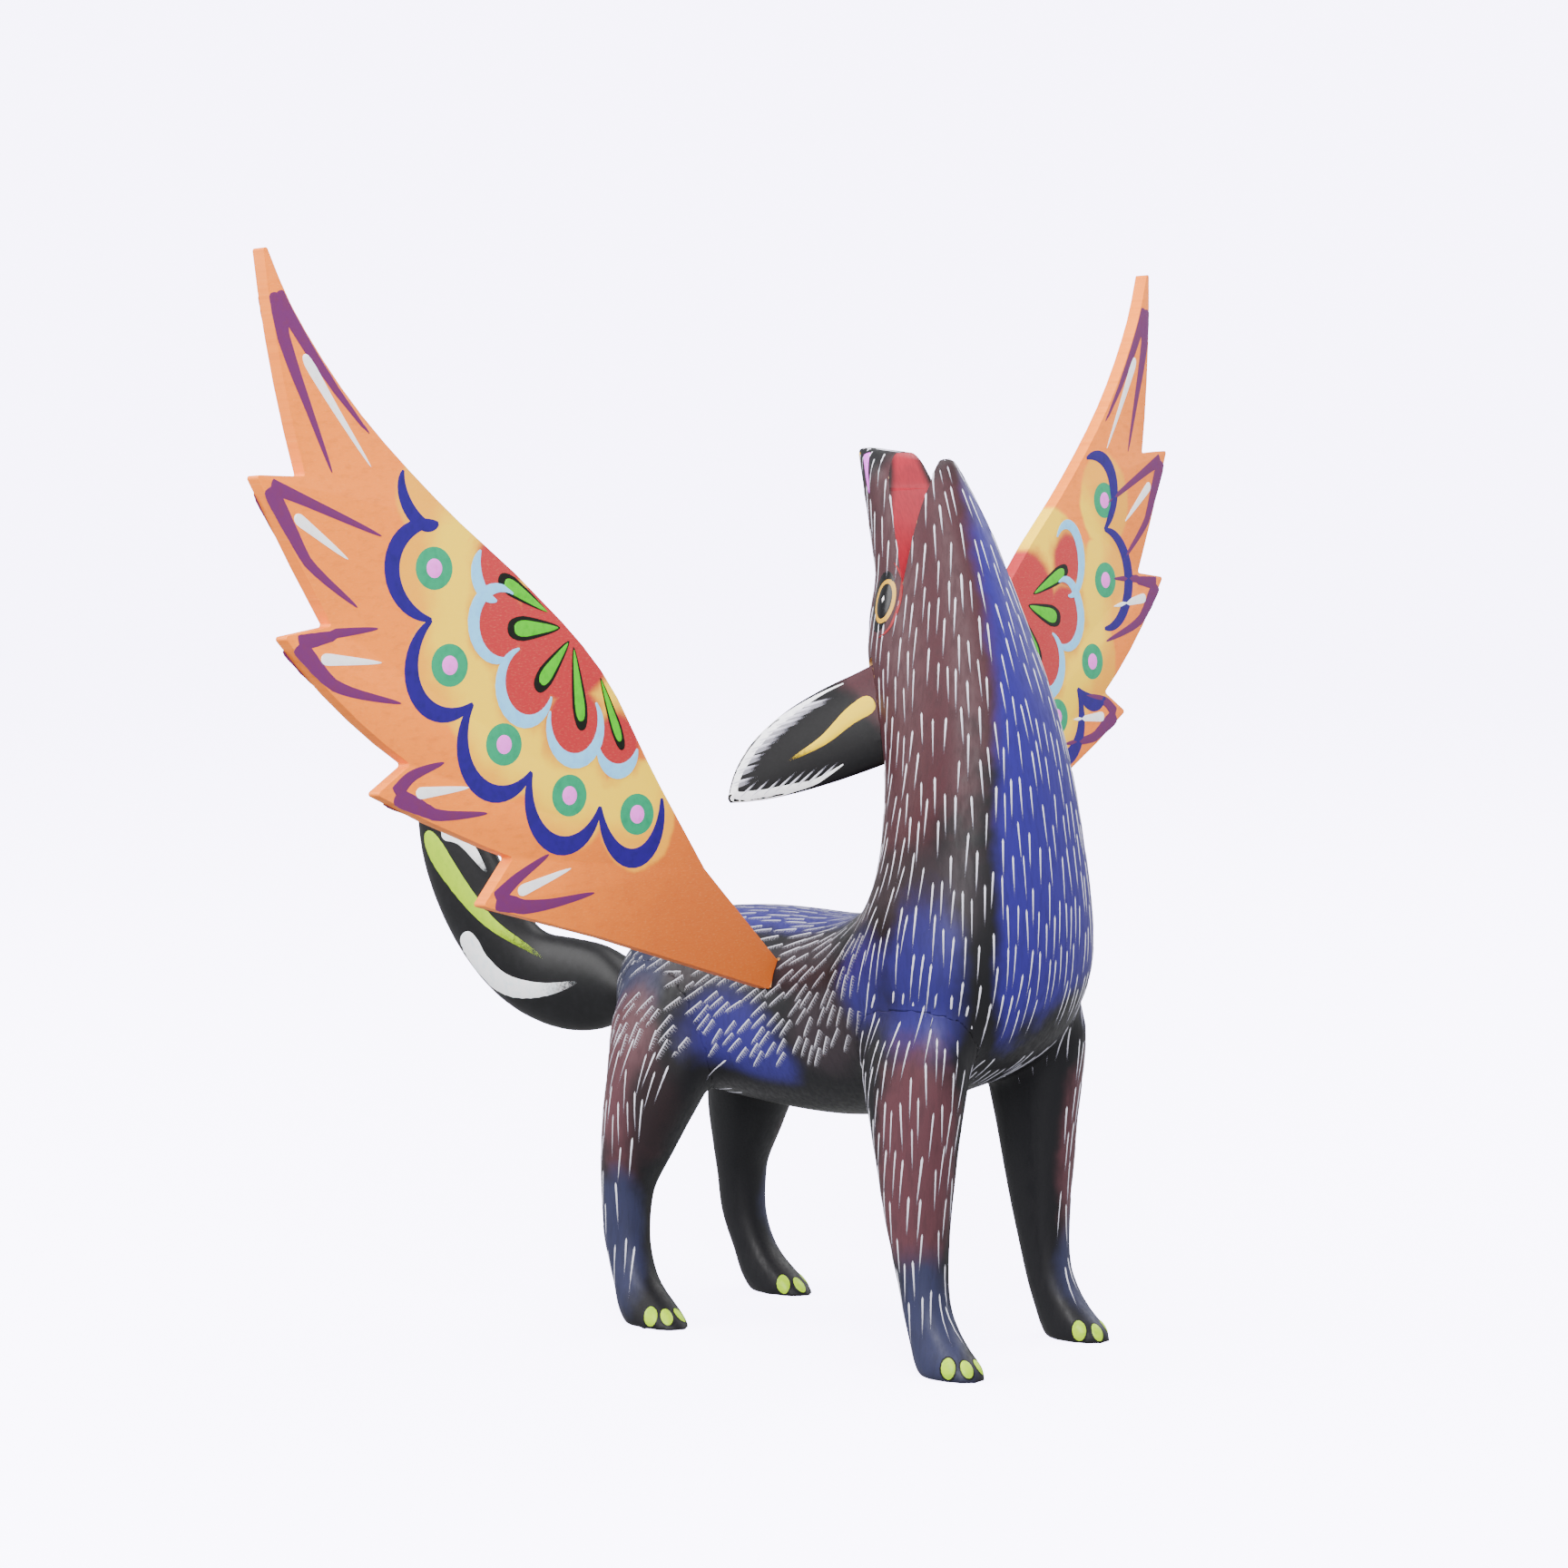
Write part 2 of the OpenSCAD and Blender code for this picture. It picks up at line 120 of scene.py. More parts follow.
def pour(bm, into):
    """Adds one bmesh to another and frees it."""
    mesh = bpy.data.meshes.new("poured")
    bm.to_mesh(mesh)
    bm.free()
    into.from_mesh(mesh)
    bpy.data.meshes.remove(mesh)


def scratch_object(bm, name):
    """A working object that holds the bmesh, which is freed."""
    mesh = bpy.data.meshes.new(name)
    bm.to_mesh(mesh)
    bm.free()
    obj = bpy.data.objects.new(name, mesh)
    bpy.context.scene.collection.objects.link(obj)
    return obj


def settled(obj):
    """A bmesh of the object with its modifiers done. The object goes."""
    depsgraph = bpy.context.evaluated_depsgraph_get()
    mesh = bpy.data.meshes.new_from_object(obj.evaluated_get(depsgraph))
    bm = bmesh.new()
    bm.from_mesh(mesh)
    old = obj.data
    bpy.data.objects.remove(obj)
    bpy.data.meshes.remove(old)
    bpy.data.meshes.remove(mesh)
    return bm


def cut(bm, tool, operation="DIFFERENCE"):
    """One exact mesh operation between two closed bmeshes. Both are used up."""
    body = scratch_object(bm, "cut_body")
    knife = scratch_object(tool, "cut_tool")
    step = body.modifiers.new("cut", "BOOLEAN")
    step.operation, step.solver, step.object = operation, "MANIFOLD", knife
    bpy.context.view_layer.update()
    result = settled(body)
    spare = knife.data
    bpy.data.objects.remove(knife)
    bpy.data.meshes.remove(spare)
    return result


def crease_corners(bm, angle):
    """Creases the edges that turn by more than the angle."""
    crease = bm.edges.layers.float.get("crease_edge") or bm.edges.layers.float.new("crease_edge")
    for edge in bm.edges:
        if len(edge.link_faces) == 2 and edge.calc_face_angle(0) > angle:
            edge[crease] = 1.0


def rounded(bm, levels):
    """The bmesh subdivided smooth, its creased edges kept."""
    obj = scratch_object(bm, "rounding")
    step = obj.modifiers.new("round", "SUBSURF")
    step.levels = step.render_levels = levels
    bpy.context.view_layer.update()
    return settled(obj)


def piece(name, bm, material, body, replaced=(), sharp=40):
    """A finished piece in metres, at the origin, riding on its body."""
    bmesh.ops.scale(bm, vec=(MM,) * 3, verts=bm.verts)
    mesh = bpy.data.meshes.new(name)
    bm.to_mesh(mesh)
    bm.free()
    mesh.shade_smooth()
    if sharp:
        mesh.set_sharp_from_angle(angle=math.radians(sharp))
    obj = bpy.data.objects.new(name, mesh)
    bpy.context.scene.collection.objects.link(obj)
    for one in material if isinstance(material, (list, tuple)) else [material]:
        mesh.materials.append(one)
    if replaced:
        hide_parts(*replaced)
    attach(obj, body)
    return obj


def tube(bm, matrix, radius, reach, segments=48):
    """A cylinder about a frame's Z, reaching the same way both up and down."""
    bmesh.ops.create_cone(bm, cap_ends=True, segments=segments, radius1=radius, radius2=radius,
                          depth=2 * reach, matrix=matrix)


def verts_in(geom):
    return [g for g in geom if isinstance(g, bmesh.types.BMVert)]


def prism(bm, outline, matrix, low, high):
    """A flat outline in a frame's XY, raised from low to high."""
    face = bm.faces.new([bm.verts.new(matrix @ Vector((x, y, low))) for x, y in outline])
    raised = bmesh.ops.extrude_face_region(bm, geom=[face])["geom"]
    lift = matrix.to_3x3() @ Vector((0, 0, high - low))
    bmesh.ops.translate(bm, vec=lift, verts=verts_in(raised))


def both_sides(make):
    """Closed tools made for the left side and mirrored to the right."""
    bm = bmesh.new()
    for side in (LEFT, RIGHT):
        make(bm, side)
    bmesh.ops.recalc_face_normals(bm, faces=bm.faces)
    return bm


# ---- Seats, holes and the mouth --------------------------------------------------------------

PEG_PLAY, GLUE_GAP, SEAT_PLAY = 0.05, 0.1, 0.4
# Radius and depth of the pegs and dowels. A wing's two pegs sit that far from its middle
WING_PEG, WING_PEG_OFF = (0.9, 9.0), 1.7
EAR_PEG = (1.1, 8.0)
TAIL_PEG, TAIL_SEAT_R = (2.5, 12.0), 6.5
DOWEL = (2.5, 8.5)
WING_ROOT_W, WING_ROOT_REACH = 7.0, 15
EAR_W, EAR_T, EAR_L = 21.0, 4.6, 39.0
# Saw cut of the mouth, along and up, and half its width
MOUTH_HALF = 30
MOUTH = [(62.68, 176), (65.28, 198.5), (64.78, 212), (51.98, 212), (55.28, 198.5)]


def joint_tools(bm, side):
    """What is cut away at the wing, ear and tail seats and for the dowels, on one side."""
    seat = on_side(blade_matrix() @ Matrix.Rotation(WING_PEG_TILT - math.pi / 2, 4, "X"), side)
    half_t, half_w = WING_T / 2 + SEAT_PLAY, WING_ROOT_W / 2 + SEAT_PLAY
    corners = [(-half_t, -half_w), (half_t, -half_w), (half_t, half_w), (-half_t, half_w)]
    prism(bm, corners, seat, 0, WING_ROOT_REACH)
    for off in (-WING_PEG_OFF, WING_PEG_OFF):
        tube(bm, seat @ Matrix.Translation((0, off, 0)), WING_PEG[0] + PEG_PLAY, WING_PEG[1] + GLUE_GAP)
    ear = on_side(ear_matrix(), side)
    half = 0.55 * EAR_W + SEAT_PLAY
    floor_x = [(-SEAT_DEPTH - y * math.sin(EAR_TURN)) / math.cos(EAR_TURN) for y in (half, -half)]
    slot = [(floor_x[0], half), (floor_x[1], -half), (EAR_L, -half), (EAR_L, half)]
    prism(bm, slot, ear, -EAR_T / 2 - SEAT_PLAY, EAR_T / 2 + SEAT_PLAY)
    peg = ear @ Matrix.Rotation(EAR_TURN, 4, "Z") @ Matrix.Translation((-SEAT_DEPTH, 0, 0))
    peg = peg @ Matrix.Rotation(-EAR_TURN, 4, "Z") @ Matrix.Rotation(math.pi / 2, 4, "Y")
    tube(bm, peg, EAR_PEG[0] + PEG_PLAY, EAR_PEG[1] + GLUE_GAP)
    for at in (FRONT_JOINT, HIND_JOINT):
        tube(bm, dowel_matrix(at, side), DOWEL[0] + GLUE_GAP, DOWEL[1] + GLUE_GAP)
    if side == LEFT:
        tail = Matrix.Translation(TAIL_SEAT) @ Matrix.Rotation(-math.pi / 2, 4, "Y")
        tube(bm, tail @ Matrix.Translation((0, 0, 10)), TAIL_SEAT_R + SEAT_PLAY, 10)
        tube(bm, tail, TAIL_PEG[0] + PEG_PLAY, TAIL_PEG[1] + GLUE_GAP)
        prism(bm, MOUTH, Matrix.Rotation(math.pi / 2, 4, "X"), -MOUTH_HALF, MOUTH_HALF)


def hull_of(source, inside, into):
    """Fills a hollow: a closed hull over the source's points that pass the test."""
    bm = bmesh.new()
    for vert in source.verts:
        if inside(vert.co):
            bm.verts.new(vert.co)
    hull = bmesh.ops.convex_hull(bm, input=bm.verts)
    spare = set(verts_in(hull["geom_interior"] + hull["geom_unused"]))
    bmesh.ops.delete(bm, geom=list(spare), context="VERTS")
    bmesh.ops.recalc_face_normals(bm, faces=bm.faces)
    crease_corners(bm, -1)
    pour(bm, into)


# How far the hollows of the seats and the mouth reach, and where the legs' seams are
TAIL_HOLLOW, WING_HOLLOW, EAR_HOLLOW, MOUTH_FROM = 8.2, 5.6, (7, 13, 3.6), 175.5
SEAM_LOW, SEAM_HIGH, SEAM_REACH = 55, 102, 4.5


def hollow_tests():
    """Tests for the points round each seat and the mouth."""
    tests = [lambda p: (p - TAIL_SEAT).length < TAIL_HOLLOW, lambda p: p.z > MOUTH_FROM]
    for side in (LEFT, RIGHT):
        seat = on_side(Matrix.Translation(FLANK_SEAT), side).inverted()
        ear = on_side(ear_matrix(), side).inverted()
        tests.append(lambda p, m=seat: (m @ p).length < WING_HOLLOW)
        tests.append(lambda p, m=ear: all(abs(c) < r for c, r in zip(m @ p, EAR_HOLLOW)))
    return tests


def whole_skin(sizes):
    """Trunk and legs as one smooth closed skin, the seats and the mouth filled for now."""
    trunk, legs, whole = copy_of("trunk"), bmesh.new(), bmesh.new()
    for test in hollow_tests():
        hull_of(trunk, test, whole)
    for name in LEGS:
        pour(copy_of(name), legs)
    near = [BVHTree.FromBMesh(trunk), BVHTree.FromBMesh(legs)]
    legs.free()
    for part in [trunk] + [copy_of(name) for name in LEGS]:
        crease_corners(part, math.radians(50))
        pour(part, whole)
    obj = scratch_object(whole, "whole")
    round_step = obj.modifiers.new("round", "SUBSURF")
    round_step.levels = round_step.render_levels = 2
    remesh = obj.modifiers.new("skin", "REMESH")
    remesh.mode, remesh.voxel_size = "VOXEL", sizes.skin_voxel
    smooth = obj.modifiers.new("sanding", "SMOOTH")
    smooth.factor, smooth.iterations = 0.5, sizes.sanding_passes
    bpy.context.view_layer.update()
    bm = settled(obj)
    seam = [v for v in bm.verts if SEAM_LOW < v.co.z < SEAM_HIGH
            and all(tree.find_nearest(v.co)[3] < SEAM_REACH for tree in near)]
    for _ in range(sizes.sanding_passes * 3):
        bmesh.ops.smooth_vert(bm, verts=seam, factor=0.5, use_axis_x=True, use_axis_y=True, use_axis_z=True)
    return bm


def leg_tools(grow):
    """The four legs a little swollen, each closed, to part the skin along their seams."""
    tools = bmesh.new()
    for name in LEGS:
        leg = copy_of(name)
        dowel = dowel_matrix(FRONT_JOINT if "front" in name else HIND_JOINT, side_of(name)).inverted()
        inner = [v for v in leg.verts if (dowel @ v.co).xy.length < DOWEL[0] + 0.3]
        bmesh.ops.delete(leg, geom=inner, context="VERTS")
        bmesh.ops.holes_fill(leg, edges=[e for e in leg.edges if e.is_boundary], sides=0)
        bmesh.ops.recalc_face_normals(leg, faces=leg.faces)
        leg.normal_update()
        for vert in leg.verts:
            vert.co += vert.normal * grow
        low = min(v.co.z for v in leg.verts)
        for vert in leg.verts:
            if vert.co.z < low + 0.5:
                vert.co.z -= 2
        bmesh.ops.triangulate(leg, faces=leg.faces)
        pour(leg, tools)
    return tools


def painted_skin():
    """The painted skin of trunk and legs, to lay brush strokes on."""
    bm = bmesh.new()
    for name in ["trunk_skin"] + [leg + "_skin" for leg in LEGS]:
        bm.from_mesh(bpy.data.objects[name].data)
    bmesh.ops.scale(bm, vec=(1 / MM,) * 3, verts=bm.verts)
    return bm


# ---- Brush strokes ---------------------------------------------------------------------------

UNDERSIDE = 0.4


def tear(head, power=0.9):
    """Width along a stroke with a round head and a long tapering tail."""
    def width(t):
        nose = math.sqrt(max(0.0, 1 - (1 - min(t / head, 1)) ** 2))
        return nose * (1 - max(0.0, t - head) / (1 - head)) ** power
    return width


def spindle(t):
    """Width of a stroke that thins to both its ends."""
    return math.sin(math.pi * t) ** 0.7


def curve(points):
    """Point at t along a smooth curve through the points."""
    points = [Vector(p) for p in points]
    last = len(points) - 1

    def at(t):
        u = min(max(t, 0), 1) * last
        i = min(int(u), last - 1)
        a, b = points[max(i - 1, 0)], points[i]
        c, d = points[i + 1], points[min(i + 2, last)]
        f = u - i
        return (b + (c - a) * (f / 2) + (2 * a - 5 * b + 4 * c - d) * (f * f / 2)
                + (3 * b - a - 3 * c + d) * (f ** 3 / 2))
    return at


class Strokes:
    """Raised closed brush strokes gathered in one mesh. U runs along a stroke and V across it."""

    def __init__(self, surface, lift=0.1):
        self.bm = bmesh.new()
        self.uv = self.bm.loops.layers.uv.new("Stroke")
        self.surface = surface
        self.lift = lift

    def _raise(self, height):
        """Lift of a place on a unit ball's height. The underside sinks in less far."""
        return self.lift * (height if height > 0 else UNDERSIDE * height)

    def _mark(self, marks):
        for face in {f for v in marks for f in v.link_faces}:
            for loop in face.loops:
                loop[self.uv].uv = marks[loop.vert]

    def stroke(self, path, width, profile, rings=8, sides=6, hug=False, upper_edge=False):
        """A stroke of that half width along path(t). With upper_edge, V is 1 on its upper side."""
        made = bmesh.ops.create_uvsphere(self.bm, u_segments=sides, v_segments=rings, radius=1)
        stations, marks = {}, {}
        for vert in made["verts"]:
            t, angle = (1 - vert.co.z) / 2, math.atan2(vert.co.y, vert.co.x)
            key = round(t, 5)
            if key not in stations:
                spot, normal = self.surface(path(t))
                ahead = path(min(t + 0.03, 1)) - path(max(t - 0.03, 0))
                stations[key] = (spot, normal, normal.cross(ahead).normalized())
            spot, normal, across = stations[key]
            share = math.cos(angle) if 0 < t < 1 else 0
            guess = spot + across * (share * width * profile(t))
            if hug:
                guess, normal = self.surface(guess)
            flip = -1 if upper_edge and across.z < 0 else 1
            rise = 0 if vert.co.xy.length < 1e-6 else self._raise(math.sin(angle))
            vert.co = guess + normal * rise
            marks[vert] = (t, 0.5 + flip * share / 2)
        self._mark(marks)

    def dot(self, centre, right, up, sides=28):
        """An oval dab with those half axes."""
        made = bmesh.ops.create_uvsphere(self.bm, u_segments=sides, v_segments=6, radius=1)
        marks = {}
        for vert in made["verts"]:
            x, y, z = vert.co
            guess, normal = self.surface(centre + right * x + up * y)
            vert.co = guess + normal * self._raise(z)
            marks[vert] = (0.5 + x / 2, 0.5 + y / 2)
        self._mark(marks)

    def done(self, name, material, body):
        bmesh.ops.recalc_face_normals(self.bm, faces=self.bm.faces)
        return piece(name, self.bm, material, body, sharp=60)


def on_skin(tree):
    """Surface function of a curved piece: the nearest place and its normal."""
    return lambda guess: tree.find_nearest(guess, 30)[:2]


def on_painted_skin():
    bm = painted_skin()
    surface = on_skin(BVHTree.FromBMesh(bm))
    bm.free()
    return surface


def on_leaf(tree, ray):
    """Surface function of a leaf: where the guess's ray meets it, or else the nearest place."""
    def surface(guess):
        spot, normal = tree.ray_cast(*ray(guess))[:2]
        return (spot, normal) if spot is not None else tree.find_nearest(guess)[:2]
    return surface


def on_plane(matrix, height, facing):
    """Surface function of a flat face at that height along the frame's X."""
    normal = (matrix.to_3x3() @ Vector((facing, 0, 0))).normalized()
    origin = matrix @ Vector((height * facing, 0, 0))

    def surface(guess):
        return guess - normal * (guess - origin).dot(normal), normal
    return surface


# ---- Shader maths ----------------------------------------------------------------------------

class Value:
    """A number socket that adds Math nodes when it is reckoned with."""

    def __init__(self, shade, socket):
        self.shade, self.socket = shade, socket

    def _math(self, operation, a, b):
        return self.shade.node("ShaderNodeMath", {"operation": operation}, {0: a, 1: b})

    def __add__(self, other): return self._math("ADD", self, other)
    def __sub__(self, other): return self._math("SUBTRACT", self, other)
    def __mul__(self, other): return self._math("MULTIPLY", self, other)
    def low(self, other): return self._math("MINIMUM", self, other)
    def high(self, other): return self._math("MAXIMUM", self, other)
    def size(self): return self._math("ABSOLUTE", self, 0.0)


class Shade:
    """One material, built node by node."""

    def __init__(self, name):
        self.material = bpy.data.materials.new(name)
        self.material.use_nodes = True
        self.tree = self.material.node_tree
        self.tree.nodes.clear()

    def node(self, kind, settings=None, inputs=None, out=0):
        made = self.tree.nodes.new(kind)
        for key, value in (settings or {}).items():
            setattr(made, key, value)
        for key, value in (inputs or {}).items():
            if isinstance(value, Value):
                self.tree.links.new(value.socket, made.inputs[key])
            else:
                made.inputs[key].default_value = value
        return Value(self, made.outputs[out]) if made.outputs else None

    def place(self):
        """Object coordinates in millimetres."""
        spot = self.node("ShaderNodeTexCoord", out="Object")
        return self.node("ShaderNodeMapping", {"vector_type": "TEXTURE"}, {"Vector": spot, "Scale": (MM,) * 3})

    def brush_place(self):
        """Place along and across a brush stroke."""
        return self.split(self.node("ShaderNodeUVMap", {"uv_map": "Stroke"}))[:2]

    def along(self, vector, row):
        """One coordinate in another frame, from that frame's matrix row."""
        return self.node("ShaderNodeVectorMath", {"operation": "DOT_PRODUCT"},
                         {0: vector, 1: row.xyz}, out="Value") + row.w

    def split(self, vector):
        return [self.node("ShaderNodeSeparateXYZ", None, {0: vector}, out=i) for i in range(3)]

    def join(self, x, y, z=0.0):
        return self.node("ShaderNodeCombineXYZ", None, {0: x, 1: y, 2: z})

    def noise(self, vector, scale, detail=2.0, roughness=0.5):
        return self.node("ShaderNodeTexNoise", None,
                         {"Vector": vector, "Scale": scale, "Detail": detail, "Roughness": roughness})

    def ramp(self, value, low, high, start=0.0, end=1.0):
        """A smooth step from start to end as the value goes from low to high."""
        return self.node("ShaderNodeMapRange", {"interpolation_type": "SMOOTHSTEP"},
                         {0: value, 1: low, 2: high, 3: start, 4: end})

    def scaled(self, vector, factors):
        return self.node("ShaderNodeVectorMath", {"operation": "MULTIPLY"}, {0: vector, 1: factors})

    def distance(self, vector, centre):
        return self.node("ShaderNodeVectorMath", {"operation": "DISTANCE"},
                         {0: vector, 1: centre}, out="Value")

    def mix(self, factor, a, b):
        return self.node("ShaderNodeMix", {"data_type": "RGBA"}, {0: factor, 6: a, 7: b}, out=2)

    def bump(self, height, strength, distance):
        return self.node("ShaderNodeBump", None,
                         {"Height": height, "Strength": strength, "Distance": distance})

    def finish(self, colour, roughness=0.5, normal=None, alpha=None, specular=0.2, glow=None):
        inputs = {"Base Color": colour, "Roughness": roughness, "Specular IOR Level": specular}
        if glow:
            inputs["Emission Color"], inputs["Emission Strength"] = glow
        if normal is not None:
            inputs["Normal"] = normal
        if alpha is not None:
            inputs["Alpha"] = alpha
        shader = self.node("ShaderNodeBsdfPrincipled", None, inputs)
        self.node("ShaderNodeOutputMaterial", None, {"Surface": shader})
        return self.material


# Patches of airbrushed colour, and beside the mouth a patch of painted shade: middle, reach each way, strength
# of the edge, and the paint's name.
# The second number is how far from the middle plane, so a patch shows on both sides.
PATCHES = [
    ((66, 14, 160), (24, 22, 60), 0.5, "maroon"),
    # Black beside the mouth's cut is painted shade along the palate's edge.
    ((48, 8, 207), (5, 7, 6), 0.9, "black"),
    ((58, 8, 108), (10, 18, 12), 0.6, "umber"),
    ((78, 26, 108), (13, 14, 10), 1.0, "umber"),
    ((80, 30, 89), (9, 9, 18), 0.9, "ink"),
    ((64, 27, 88), (8, 8, 10), 1.0, "ink"),
    ((24, 6, 100), (26, 15, 6), 0.7, "ink"),
    ((20, 23, 72), (13, 10, 9), 0.9, "ink"),
    ((31, 22, 65), (9, 9, 6), 0.9, "ink"),
    ((42, 22, 90), (11, 10, 7), 0.9, "umber"),
    ((50, 26, 75), (10, 10, 10), 0.9, "umber"),
    ((4, 21, 87), (11, 12, 6), 0.7, "umber"),
    ((-11, 20, 80), (10, 16, 9), 0.8, "dusk"),
    ((-9, 27, 60), (10, 10, 22), 0.7, "russet"),
    ((1, 30, 50), (7, 8, 14), 1.0, "plum"),
    ((-9, 30, 20), (9, 7.5, 16), 0.6, "dusk"),
    ((81, 32, 48), (12, 11, 27), 0.5, "russet"),
    ((84, 31, 13), (13, 9, 16), 0.6, "dusk"),
]


def body_paint(paints):
    """Airbrushed acrylic on sanded wood: blurred patches of maroon, blue and black, its black also painted
    shade beside the mouth, under the chest and on the legs' inner faces.
    """
    s = Shade("body_paint")
    p = s.place()
    x, y, z = s.split(p)
    away = y.size()
    cloud = s.noise(p, 0.09, 3.0, 0.55) - 0.5
    folded = s.join(x, away, z)
    colour = rgba(paints.black)
    for centre, reach, edge, name in PATCHES:
        near = s.distance(s.scaled(folded, [1 / r for r in reach]), [c / r for c, r in zip(centre, reach)])
        mask = s.ramp(near + cloud * 0.9, 1 + edge / 2, 1 - edge / 2)
        colour = s.mix(mask, colour, rgba(getattr(paints, name)))
    near, far = x * 0.79 + y * 0.612, x * 0.79 - y * 0.612
    limit = s.ramp(z, 150, 206, 62.4, 55.4) + cloud * 6
    throat = s.ramp(near - limit, -2.6, 2.4) * s.ramp(far - limit, -8.6, -3.6)
    # The blue ends along a line that slants down to the front. Below it the chest is black paint that also
    # stands for painted shade under the chest.
    throat = throat * s.ramp(z - (near - 58) * 0.57 + cloud * 14, 67, 75)
    colour = s.mix(throat, colour, rgba(paints.blue))
    streak = s.noise(s.scaled(p, (0.9, 0.9, 0.16)), 1.0, 3.0, 0.6)
    colour = s.mix(s.ramp(streak, 0.42, 0.72, 0.0, 0.22), colour, rgba(paints.black))
    # Black on the legs' inner faces below the belly: black paint, and painted shade between the legs.
    inner = s.ramp(away, 21.5, 18.5) * s.ramp(z, 66, 58)
    colour = s.mix(inner, colour, rgba(paints.black))
    grain = s.noise(s.scaled(p, (1.0, 1.0, 0.35)), 1.6, 4.0, 0.6)
    normal = s.bump(grain, 0.22, 0.00012)
    rough = s.ramp(streak, 0.3, 0.7, 0.42, 0.56)
    return s.finish(colour, rough, normal, specular=0.19)


def bare_wood(paints):
    s = Shade("bare_copal")
    p = s.place()
    grain = s.noise(s.scaled(p, (0.5, 3.0, 0.5)), 1.4, 4.0, 0.6)
    colour = s.mix(s.ramp(grain, 0.35, 0.7), rgba(paints.wood), rgba((0.36, 0.19, 0.075)))
    return s.finish(colour, 0.62, s.bump(grain, 0.3, 0.0001), specular=0.2)


def mouth_paint(paints):
    s = Shade("mouth_paint")
    p = s.place()
    streak = s.noise(s.scaled(p, (1.2, 1.2, 0.25)), 1.2, 3.0, 0.6)
    colour = s.mix(s.ramp(streak, 0.35, 0.75, 0.0, 0.5), rgba(paints.mouth), rgba((0.20, 0.008, 0.02)))
    x, y, z = s.split(p)
    # Plum towards the rims of the cut, more of it near the top: painted shade along the palate's edges.
    rim = y.size() - s.ramp(z, 181, 206, 14.0, 4.2)
    colour = s.mix(s.ramp(rim, -1.5, 2.0), colour, rgba(paints.plum))
    return s.finish(colour, 0.5, s.bump(streak, 0.25, 0.0001))


def hair_paint(paints, name, strength, fade):
    """White brushed thin: full at the head of a stroke, dry and gone at its tail."""
    s = Shade(name)
    along, _ = s.brush_place()
    dry = s.noise(s.place(), 2.2, 2.0, 0.6)
    body = s.ramp(along, 1.0, fade)
    alpha = s.ramp(body + (dry - 0.5) * 0.5, 0.0, 0.7) * strength
    colour = s.mix(s.ramp(along, 0.0, 0.8), rgba(paints.hair), rgba((0.42, 0.41, 0.5)))
    return s.finish(colour, 0.45, alpha=alpha)


def dab_paint(paints):
    """Short dry dabs: a bright upper edge with bristle marks fading below it."""
    s = Shade("dab_paint")
    along, across = s.brush_place()
    p = s.place()
    hatch = s.node("ShaderNodeMath", {"operation": "SINE"}, {0: along * 58 + s.noise(p, 0.8) * 9})
    bristle = s.noise(p, 3.0, 2.0, 0.7) * 0.6 + hatch * 0.16
    fade = s.ramp(across, 0.02, 1.0)
    edge = s.ramp(across, 0.74, 0.92)
    alpha = (fade * s.ramp(bristle, 0.2, 0.42) * 0.4).high(edge * 0.72) * s.ramp(along, 1.0, 0.7)
    return s.finish(rgba(paints.hair), 0.45, alpha=alpha)


def brush_paint(name, colour, deep, roughness=0.5, streaks=(0.5, 0.5, 0.5), alpha_tail=False):
    """Opaque acrylic laid with a flat brush, a little uneven."""
    s = Shade(name)
    p = s.place()
    streak = s.noise(s.scaled(p, streaks), 1.1, 3.0, 0.6)
    mixed = s.mix(s.ramp(streak, 0.4, 0.75, 0.0, 0.6), rgba(colour), rgba(deep))
    alpha = None
    if alpha_tail:
        alpha = s.ramp(s.brush_place()[0] + (s.noise(p, 1.5) - 0.5) * 0.2, 1.0, 0.72)
    return s.finish(mixed, roughness, s.bump(streak, 0.2, 0.0001), alpha=alpha)


# ---- Settings --------------------------------------------------------------------------------

def colour_of(name, colour, about):
    return FloatVectorProperty(name=name, description=about, subtype="COLOR", size=3,
                               min=0, max=1, default=colour)


def size_of(name, default, low, high, about):
    return FloatProperty(name=name, description=about + ", in millimetres", default=default, min=low, max=high)


class CoyoteSizes(bpy.types.PropertyGroup):
    """Sizes of the carving's finish."""
    skin_voxel: size_of("Skin fineness", 0.8, 0.6, 2, "Spacing of the carved skin's faces")
    sanding_passes: IntProperty(
        name="Sanding", description="How often the skin is smoothed", default=13, min=0, max=40)
    seam: size_of("Leg seam", 0.8, 0.2, 3, "How far a leg's painted skin laps over the trunk")
    wing_edge: size_of("Wing edge", 0.55, 0.1, 1.2, "Rounding of a wing's edges")
    hair_length: size_of("Hair length", 10.6, 3, 14, "Length of a neck hair")
    hair_width: size_of("Hair width", 0.48, 0.3, 2, "Width of a hair's head")
    hair_seed: IntProperty(name="Hair seed", description="Start of the hair's random places", default=7)


